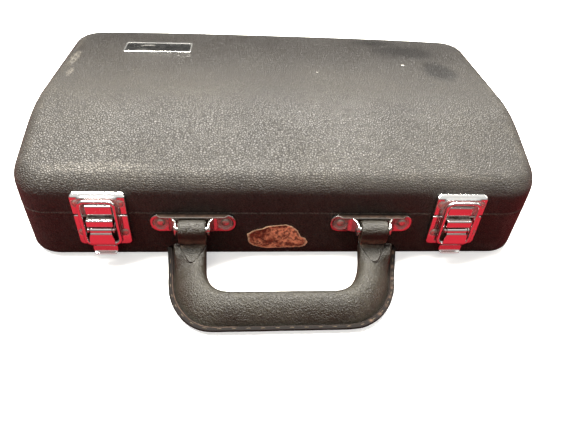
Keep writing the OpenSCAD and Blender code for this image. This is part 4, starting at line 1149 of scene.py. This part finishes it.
def grip():
    out_l = [(-78.0, 8.3), (-77.0, 15.7), (-76.3, 21.3), (-75.6, 26.8), (-75.0, 32.1), (-74.0, 37.3), (-72.8, 42.3), (-71.0, 47.3), (-68.6, 52.1), (-65.5, 56.8), (-61.8, 61.2), (-57.3, 64.8),
             (-51.5, 67.6), (-45.6, 68.6), (-36.8, 68.7), (-22, 68.7), (-10, 68.6), (0, 68.5)]
    out_r = [(79.8, 8.3), (77.9, 16.8), (76.3, 22.6), (74.9, 28.2), (73.6, 33.7), (72.2, 39.0), (70.0, 44.2), (67.4, 49.2), (64.1, 54.1), (59.9, 58.9), (54.8, 63.0), (47.9, 66.6), (41.5, 67.9),
             (32.2, 68.3), (20, 68.4), (10, 68.5), (0, 68.5)]
    in_l = [(-51.2, 8.3), (-51.0, 15.0), (-50.7, 21.0), (-50.3, 26.5), (-49.2, 32.0), (-46.8, 37.5), (-43.7, 41.4), (-39.4, 44.0), (-34.0, 45.0), (-26, 45.1), (-14, 45.1), (0, 45.1)]
    in_r = [(50.9, 8.3), (50.6, 15.0), (49.8, 21.0), (48.4, 26.5), (46.3, 32.0), (43.2, 37.5), (39.6, 41.3), (35.2, 43.9), (30.4, 45.0), (22, 45.1), (12, 45.1), (0, 45.1)]
    counts = (38, 64, 26)
    halves = []
    for o, i in ((out_l, in_l), (out_r, in_r)):
        halves.append(np.hstack([in_thirds(i, 24.0, 30.0, counts), in_thirds(o, 27.0, 36.0, counts)]))
    rows = np.vstack([halves[0], halves[1][::-1][1:]])
    half_rows = len(halves[0])
    body = [(0, 0), (0.01, 1.8), (0.035, 3.6), (0.08, 5.6), (0.14, 7.1), (0.21, 7.85), (0.28, 8.0), (0.36, 7.55), (0.45, 6.5), (0.54, 5.0), (0.62, 3.2), (0.70, 1.0), (0.76, -1.0), (0.81, -3.0), (0.845, -4.6)]
    body = smooth_path([(a * 27, b) for a, b in body], 46)
    prof = [(float(a) / 27, float(b), "body") for a, b in body]
    prof += [(0.853, -5.1, "groove"), (0.861, -5.2, "groove"), (0.868, -4.9, "groove")]
    prof += [(a, b, "flange") for a, b in ((0.876, -4.45), (0.887, -4.3), (0.90, -4.42), (0.915, -4.5), (0.932, -4.5), (0.95, -4.45), (0.966, -4.38), (0.982, -4.4), (0.994, -4.7), (0.998, -5.2), (0.994, -5.8), (0.982, -6.1))]
    prof += [(a, b, "under") for a, b in ((0.94, -6.2), (0.89, -6.2), (0.85, -6.5), (0.78, -7.05), (0.70, -7.5), (0.60, -7.8), (0.50, -7.88), (0.40, -7.8), (0.30, -7.55), (0.20, -6.8), (0.12, -5.5), (0.06, -3.9), (0.02, -1.9))]
    length = np.concatenate([[0], np.cumsum(np.linalg.norm(np.diff(rows[:, 2:], axis=0), axis=1))])
    rings, marks, painted_shade_rows = [], [], []
    for k, row in enumerate(rows):
        side = -1 if k < half_rows else 1
        v_mid = (row[1] + row[3]) / 2
        near_end = float(smooth01(20.0, 6.0, v_mid - GRIP_END)) if abs(row[0]) > 40 else 0.0
        ring, mk, dk = [], [], []
        for a, hgt, kind in prof:
            aa = a
            if kind == "body" and near_end > 0:
                q = min(a / 0.845, 1.0)
                top = -4.6 * smooth01(0.90, 1.0, q) + 8.05 * (1 - abs(2 * min(q, 0.96) / 0.96 - 1) ** 7) ** (1 / 5)
                hgt = hgt * (1 - near_end) + float(top) * near_end
            x = row[0] + (row[2] - row[0]) * aa
            v = row[1] + (row[3] - row[1]) * aa
            dark = 0.0
            if kind == "body":
                if abs(row[0]) > 40 and v < GRIP_END + NOTCH + 1.2:
                    gap = 9.0 * max(1 - (v - GRIP_END) / NOTCH, 0) ** 0.92 - abs(x - side * 59.8)
                    if hgt > 3:
                        hgt -= 0.95 * float(smooth01(-0.3, 0.45, gap))
                        # painted shade along the edge of the strap's tongue
                        dark = 0.45 * math.exp(-((gap - 0.1) / 0.45) ** 2)
            f = (fbm(x, v, 1.0, 0.05, 3) * 0.34 + fbm(x, v, 4.0, 0.16, 2) * 0.12) * (1.0 if kind in ("body", "under") else 0.25)
            hgt += f * min(1.0, 4 * a + 0.1)
            yy, z = grip_point(v, hgt)
            ring.append((x, FRONT - yy, z))
            lip = math.exp(-((a - 0.885) / 0.009) ** 2)
            worn = lip * (0.85 if x < -30 and v > 24 else 0.2)
            if kind == "flange" and side > 0 and x > 50:
                worn = max(worn, 0.8 * float(smooth01(0.55, 0.9, math.cos(2 * math.pi * length[k] / 8.7))) * math.exp(-((a - 0.93) / 0.035) ** 2))
            mk.append(min(worn, 1.0))
            # painted shade in the groove and on the underside
            if kind == "groove":
                dark = 0.9
            elif kind == "under":
                dark = 0.5
            dk.append(min(dark, 1.0))
        rings.append(ring)
        marks.append(mk)
        painted_shade_rows.append(dk)
    flange = [1.0 if kind in ("groove", "flange") else 0.0 for _, _, kind in prof]

    # turned-in mouths at both ends
    def inward(ring, amount, push):
        c = np.mean(np.array(ring), axis=0)
        return [tuple(np.array([c[0] + (p[0] - c[0]) * amount, p[1] + push * 0.62, c[2] + (p[2] - c[2]) * amount - push * 0.78])) for p in ring]
    steps = [(0.975, 0.30), (0.93, 0.30), (0.88, -0.9), (0.80, -2.4), (0.55, -2.6)]
    first, last = rings[0], rings[-1]
    pre = [inward(first, a, b) for a, b in reversed(steps)]
    post = [inward(last, a, b) for a, b in steps]
    n = len(prof)
    rings = pre + rings + post
    shade = [0.0, 0.0, 0.7, 1.0, 1.0]
    marks = [[0] * n for _ in shade] + marks + [[0] * n for _ in shade]
    painted_shade_rows = [[q] * n for q in reversed(shade)] + painted_shade_rows + [[q] * n for q in shade]
    ob = rings_object("grip_cover", rings, caps=(True, True), attrs={"mark": marks, "dark": painted_shade_rows, "flange": [flange] * len(rings)})
    paint(ob, M_LEATHER, M_EDGE)
    on = np.zeros(len(ob.data.vertices), np.float32)
    ob.data.attributes["flange"].data.foreach_get("value", on)
    for q in ob.data.polygons:
        if len(q.vertices) < 8 and min(on[i] for i in q.vertices) > 0.5:
            q.material_index = 1
    place_piece(ob, "handle", ["handle_grip"])
    # stitches in the channel of the flange
    mid = [(row[0] + (row[2] - row[0]) * 0.935, row[1] + (row[3] - row[1]) * 0.935) for row in rows]
    mid = resample(mid, 0.5)
    step, long = 8.7, 2.7
    total = 0.5 * (len(mid) - 1)
    count = int((total - 4) / step)
    start = (total - count * step) / 2 + (step - long) / 2
    pieces = []
    for base_h, sign in ((-4.48, 1), (-6.2, -1)):
        for k in range(count):
            s0 = start + k * step
            pts, rad = [], []
            for j in range(7):
                q = j / 6
                i = (s0 + long * q) / 0.5
                i0 = min(int(i), len(mid) - 2)
                x = mid[i0][0] + (mid[i0 + 1][0] - mid[i0][0]) * (i - i0)
                v = mid[i0][1] + (mid[i0 + 1][1] - mid[i0][1]) * (i - i0)
                yy, z = grip_point(v, base_h + sign * (0.30 * math.sin(math.pi * q) ** 0.5 - 0.16))
                pts.append((x, FRONT - yy, z))
                rad.append(0.14 + 0.16 * math.sin(math.pi * min(max(q, 0.02), 0.98)) ** 0.5)
            pieces.append(paint(tube("tmp", pts, rad, n=8), M_THREAD))
    st = join("grip_stitching", pieces)
    place_piece(st, "handle")
    # stiffening bar inside the padding
    inner = []
    for row in rows[::3]:
        v = row[1] + (row[3] - row[1]) * 0.36
        if v > 15.5 or abs(row[0]) < 40:
            yy, z = grip_point(v, 0.2)
            inner.append((row[0] + (row[2] - row[0]) * 0.36, FRONT - yy, z))
    place_piece(tube("grip_core_bar", inner, 2.2, n=16), "handle", ["handle_core"], M_CORE)


# ------------------------------------------------------------------ rivets, hinges, plates
def rivets():
    sets = [("strike_rivets", "strike_rivet_heads", "lid", [(s * 118 + k * 13.4, 48.6, 3.15, 2.3, -1) for s in (-1, 1) for k in (-1, 1)]),
            ("latch_rivets", "latch_rivet_heads", "base", [(s * 118 + k * 13.4, 25.0, 3.15, 2.3, -1) for s in (-1, 1) for k in (-1, 1)]),
            ("bracket_rivets", "bracket_rivet_heads", "base", [(s * 59.8 + k * 21, 32.0, 1.55, 3.0, -1) for s in (-1, 1) for k in (-1, 1)]),
            ("hinge_rivets_base", "hinge_rivet_heads_base", "base", [(s * 104 + k * 13, SEAM - 9.5, 1.35, 2.9, 1) for s in (-1, 1) for k in (-1, 1)]),
            ("hinge_rivets_lid", "hinge_rivet_heads_lid", "lid", [(s * 104 + k * 13, SEAM + 9.5, 1.35, 2.9, 1) for s in (-1, 1) for k in (-1, 1)])]
    for node, name, body, items in sets:
        obs = [paint(domed_rivet("tmp", x, z, face, r, side, 0.7 if "latch" in name or "strike" in name else 1.25), M_RIVET) for x, z, face, r, side in items]
        place_piece(join(name, obs), body, [node])


def hinges():
    for s, tag in ((-1, "hinge_left"), (1, "hinge_right")):
        cx = 104.0 * s
        pitch = 42 / 5
        ay = REAR + 2.6
        for d, leaf, body in ((-1, "base_leaf", "base"), (1, "lid_leaf", "lid")):
            parts = []
            # flat leaf with rounded outer corners
            z0, z1 = (SEAM + 2.25, SEAM + 16.5) if d > 0 else (SEAM - 16.5, SEAM - 2.25)
            radii = [2.4, 2.4, 0.2, 0.2] if d > 0 else [0.2, 0.2, 2.4, 2.4]
            zc = (z0 + z1) / 2
            rings = []
            for inset, y in ((0.0, 0.15), (0.0, 0.95), (0.1, 1.2), (0.32, 1.33), (0.6, 1.35), (2.0, 1.35), (7.1, 1.35)):
                rings.append([(cx + u, REAR + y, zc + v) for u, v, _, _ in rrect(42 - 2 * inset, z1 - z0 - 2 * inset, [max(q - inset, 0.02) for q in radii], 5, 12, 6)])
            parts.append(paint(rings_object("tmp", rings, sharp=50), M_HINGE))
            for k in range(5):
                if (k % 2 == 0) != (d < 0):
                    continue
                x0, x1 = cx - 21 + k * pitch + 0.12, cx - 21 + (k + 1) * pitch - 0.12
                prof = [(1.08, 0.0), (1.9, 0.0), (2.1, 0.08), (2.19, 0.3), (2.19, x1 - x0 - 0.3), (2.1, x1 - x0 - 0.08), (1.9, x1 - x0), (1.08, x1 - x0), (1.08, 0.0)]
                parts.append(paint(lathe("tmp", prof, (x0, ay, SEAM), (1, 0, 0), n=32, sharp=40), M_HINGE))
                za, zb = (SEAM + 0.4, SEAM + 2.7) if d > 0 else (SEAM - 2.7, SEAM - 0.4)
                web = [[(x, REAR + y, z) for x, z in ((x0, za), (x1, za), (x1, zb), (x0, zb))] for y in (0.2, 0.6, 1.3)]
                parts.append(paint(rings_object("tmp", web, sharp=30), M_HINGE))
            place_piece(join(f"{tag}_{leaf}_plate", parts), body, [f"{tag}_{leaf}"])
        prof = [(0.0, -22.1), (0.9, -22.05), (1.5, -21.85), (1.7, -21.5), (1.68, -21.12), (1.0, -21.1), (1.0, 21.4), (0.7, 21.65), (0.0, 21.7)]
        place_piece(lathe(f"{tag}_pin_rod", prof, (cx, ay, SEAM), (1, 0, 0), n=24), "base", [f"{tag}_pin"], M_PIN)


def badge():
    # blank plate: satin frame round an enamel field
    c = (-98.1, 54.5)
    z = float(lid_top(np.array(c[0]), np.array(c[1]))) + 0.12
    rot = Matrix.Rotation(math.radians(-0.75), 4, "Y") @ Matrix.Rotation(math.radians(2.14), 4, "X")
    rows = [(0.0, -0.3), (0.0, 0.45), (0.12, 0.68), (0.34, 0.8), (1.05, 0.8), (1.3, 0.72), (1.42, 0.46), (1.5, 0.42), (3.0, 0.40), (6.0, 0.40), (9.6, 0.40)]
    rings = []
    for inset, h in rows:
        ring = []
        for u, v, _, _ in rrect(54.8 - 2 * inset, 19.4 - 2 * inset, max(2.0 - inset, 0.35), 5, 20, 8):
            p = rot @ Vector((u, v, h))
            ring.append((c[0] + p.x, c[1] + p.y, z + p.z))
        rings.append(ring)
    ob = rings_object("badge_plate", rings, sharp=45)
    paint(ob, M_BADGE, M_ENAMEL)
    n = len(rings[0])
    for p in ob.data.polygons:
        if min(p.vertices) >= 6 * n:
            p.material_index = 1
    place_piece(ob, "lid", ["name_plate"])


def label():
    base = [(-24.5, 20.5), (-20.5, 23.5), (-14, 25.5), (-10.5, 27.5), (-3, 28.5), (2.5, 29), (7, 27), (10.5, 23.5), (13, 17.8), (16, 16.8), (18, 12.8), (16.5, 9.6), (13, 8.2),
            (1.5, 7.8), (-10, 7.2), (-15.5, 8.2), (-20, 9.8), (-23.5, 12.8)]
    loop = resample(base + [base[0]], 0.55)[:-1]
    c = np.array([-3.5, 18.0])
    rings, marks = [], []
    for i, (sc, y) in enumerate(((1.0, -0.3), (1.0, 0.10), (0.995, 0.20), (0.975, 0.26), (0.945, 0.25), (0.90, 0.20), (0.7, 0.2), (0.45, 0.2), (0.2, 0.2))):
        ring, mk = [], []
        for k, p in enumerate(loop):
            q = c + (p - c) * sc
            rag = (0.55 * fbm(p[0], p[1], 3.0, 0.45, 4) + 0.25 * fbm(p[0], p[1], 9.0, 1.6, 2)) * (1 if sc > 0.93 else 0.4)
            n_ = (p - c) / np.linalg.norm(p - c)
            q = q - n_ * abs(rag) * 1.2
            lift = y + (0.10 * fbm(q[0], q[1], 0.0, 0.12, 2) if y > 0.15 else 0)
            wallin = BASE_DRAFT * (SEAM - q[1])
            ring.append((q[0], FRONT + wallin - max(lift, -0.3), q[1]))
            mk.append(1.0 if sc > 0.97 else (0.55 if sc > 0.93 and fbm(p[0], p[1], 5.0, 0.12, 2) > 0.05 else 0.0))
        rings.append(ring)
        marks.append(mk)
    ob = rings_object("torn_label", rings, attrs={"mark": marks})
    place_piece(ob, "base", ["paper_label"], M_PAPER)


def carried_over():
    """CAD nodes that stay in view"""
    for node, mat, slot in (("rim_strip", M_RIM, "rim"),):
        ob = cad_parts[node]
        paint(ob, mat)
        ob.data.shade_smooth()
        ob.data.set_sharp_from_angle(angle=math.radians(30))


# ------------------------------------------------------------------ stage
def stage():
    cam_data = bpy.data.cameras.new("camera")
    cam_data.sensor_width = 36.0
    cam_data.lens = 483.591 / 570 * 36
    cam_data.clip_start = 0.02
    cam = bpy.data.objects.new("camera", cam_data)
    scene.collection.objects.link(cam)
    right, down, fwd = (0.9970929, -0.05746936, 0.05003029), (0.00344638, -0.6219167, -0.78307582), (0.07611754, 0.78097176, -0.61991066)
    loc = (-0.02367, -0.35069, 0.23752)
    cam.matrix_world = Matrix([[right[i], -down[i], -fwd[i], loc[i]] for i in range(3)] + [[0, 0, 0, 1]])
    scene.camera = cam
    scene.view_settings.view_transform = "Standard"

    def plane(name, x, y, z, sx, sy):
        v = [(x - sx, y - sy, z), (x + sx, y - sy, z), (x + sx, y + sy, z), (x - sx, y + sy, z)]
        me = bpy.data.meshes.new(name)
        me.from_pydata(v, [], [(0, 1, 2, 3)])
        ob = bpy.data.objects.new(name, me)
        scene.collection.objects.link(ob)
        return ob
    # pale floor for the eye; a red one at the same place for the metal to mirror, as the surface under the real case did
    floor = plane("floor", 0, 0.3, -0.0004, 4, 4)
    s = Mat("floor_paper")
    s.set(Base_Color=s.mix(s.noise(3.0, 3.0), (0.78, 0.78, 0.78), (0.80, 0.80, 0.80)), Roughness=0.9, Specular_IOR_Level=0.1)
    s.b.inputs["Emission Color"].default_value = (1.0, 1.0, 1.0, 1.0)
    s.b.inputs["Emission Strength"].default_value = 0.5
    paint(floor, s.m)
    floor.visible_glossy = False
    floor.visible_diffuse = False
    floor.visible_shadow = False
    floor.visible_transmission = False
    card = plane("red_card", 0, 0.3, -0.0012, 1.6, 1.6)
    s = Mat("red_card")
    s.set(Base_Color=s.mix(s.noise(4.0, 2.0), (0.102, 0.0012, 0.0044), (0.112, 0.0016, 0.0054)), Roughness=0.8, Specular_IOR_Level=0.1)
    paint(card, s.m)
    card.visible_camera = False

    world = bpy.data.worlds.new("room")
    scene.world = world
    world.use_nodes = True
    bg = world.node_tree.nodes["Background"]
    bg.inputs[0].default_value = (1.0, 0.985, 0.955, 1)
    # the room is dim for lighting and bright for mirrors
    path = world.node_tree.nodes.new("ShaderNodeLightPath")
    level = world.node_tree.nodes.new("ShaderNodeMapRange")
    level.inputs[3].default_value = 0.24
    tree = world.node_tree
    way = tree.nodes.new("ShaderNodeSeparateXYZ")
    tree.links.new(tree.nodes.new("ShaderNodeTexCoord").outputs["Generated"], way.inputs[0])
    sky = tree.nodes.new("ShaderNodeMapRange")
    sky.interpolation_type = "SMOOTHSTEP"
    for i, v in ((1, 0.35), (2, 0.95), (3, 0.18), (4, 0.95)):
        sky.inputs[i].default_value = v
    tree.links.new(way.outputs["Z"], sky.inputs[0])
    tree.links.new(sky.outputs[0], level.inputs[4])
    world.node_tree.links.new(path.outputs["Is Glossy Ray"], level.inputs[0])
    world.node_tree.links.new(level.outputs[0], bg.inputs[1])

    def area(name, loc, target, size, power, colour=(1, 1, 1), mirrored=True):
        d = bpy.data.lights.new(name, "AREA")
        d.shape = "RECTANGLE"
        d.size, d.size_y = size
        d.energy = power
        d.color = colour
        ob = bpy.data.objects.new(name, d)
        ob.location = loc
        ob.rotation_euler = (Vector(target) - Vector(loc)).to_track_quat("-Z", "Y").to_euler()
        ob.visible_glossy = mirrored
        scene.collection.objects.link(ob)
    area("overhead", (-0.10, 0.24, 1.5), (0.0, 0.0, 0.05), (1.9, 0.6), 205.0, (1.0, 0.965, 0.90))
    area("front", (-0.25, -1.35, 1.05), (0.0, -0.1, 0.03), (0.8, 0.7), 10.0, (1.0, 0.95, 0.86), False)
    area("side", (1.15, 0.15, 0.75), (0.05, 0.0, 0.05), (0.5, 0.5), 4.0, (1.0, 0.96, 0.86))


shells()
inside_goods()
for side, sign in (("left", -1), ("right", 1)):
    latch(f"latch_{side}", sign)
    bracket(f"handle_{side}", sign)
    strap(f"handle_{side}", sign)
grip()
rivets()
hinges()
badge()
label()
carried_over()
stage()
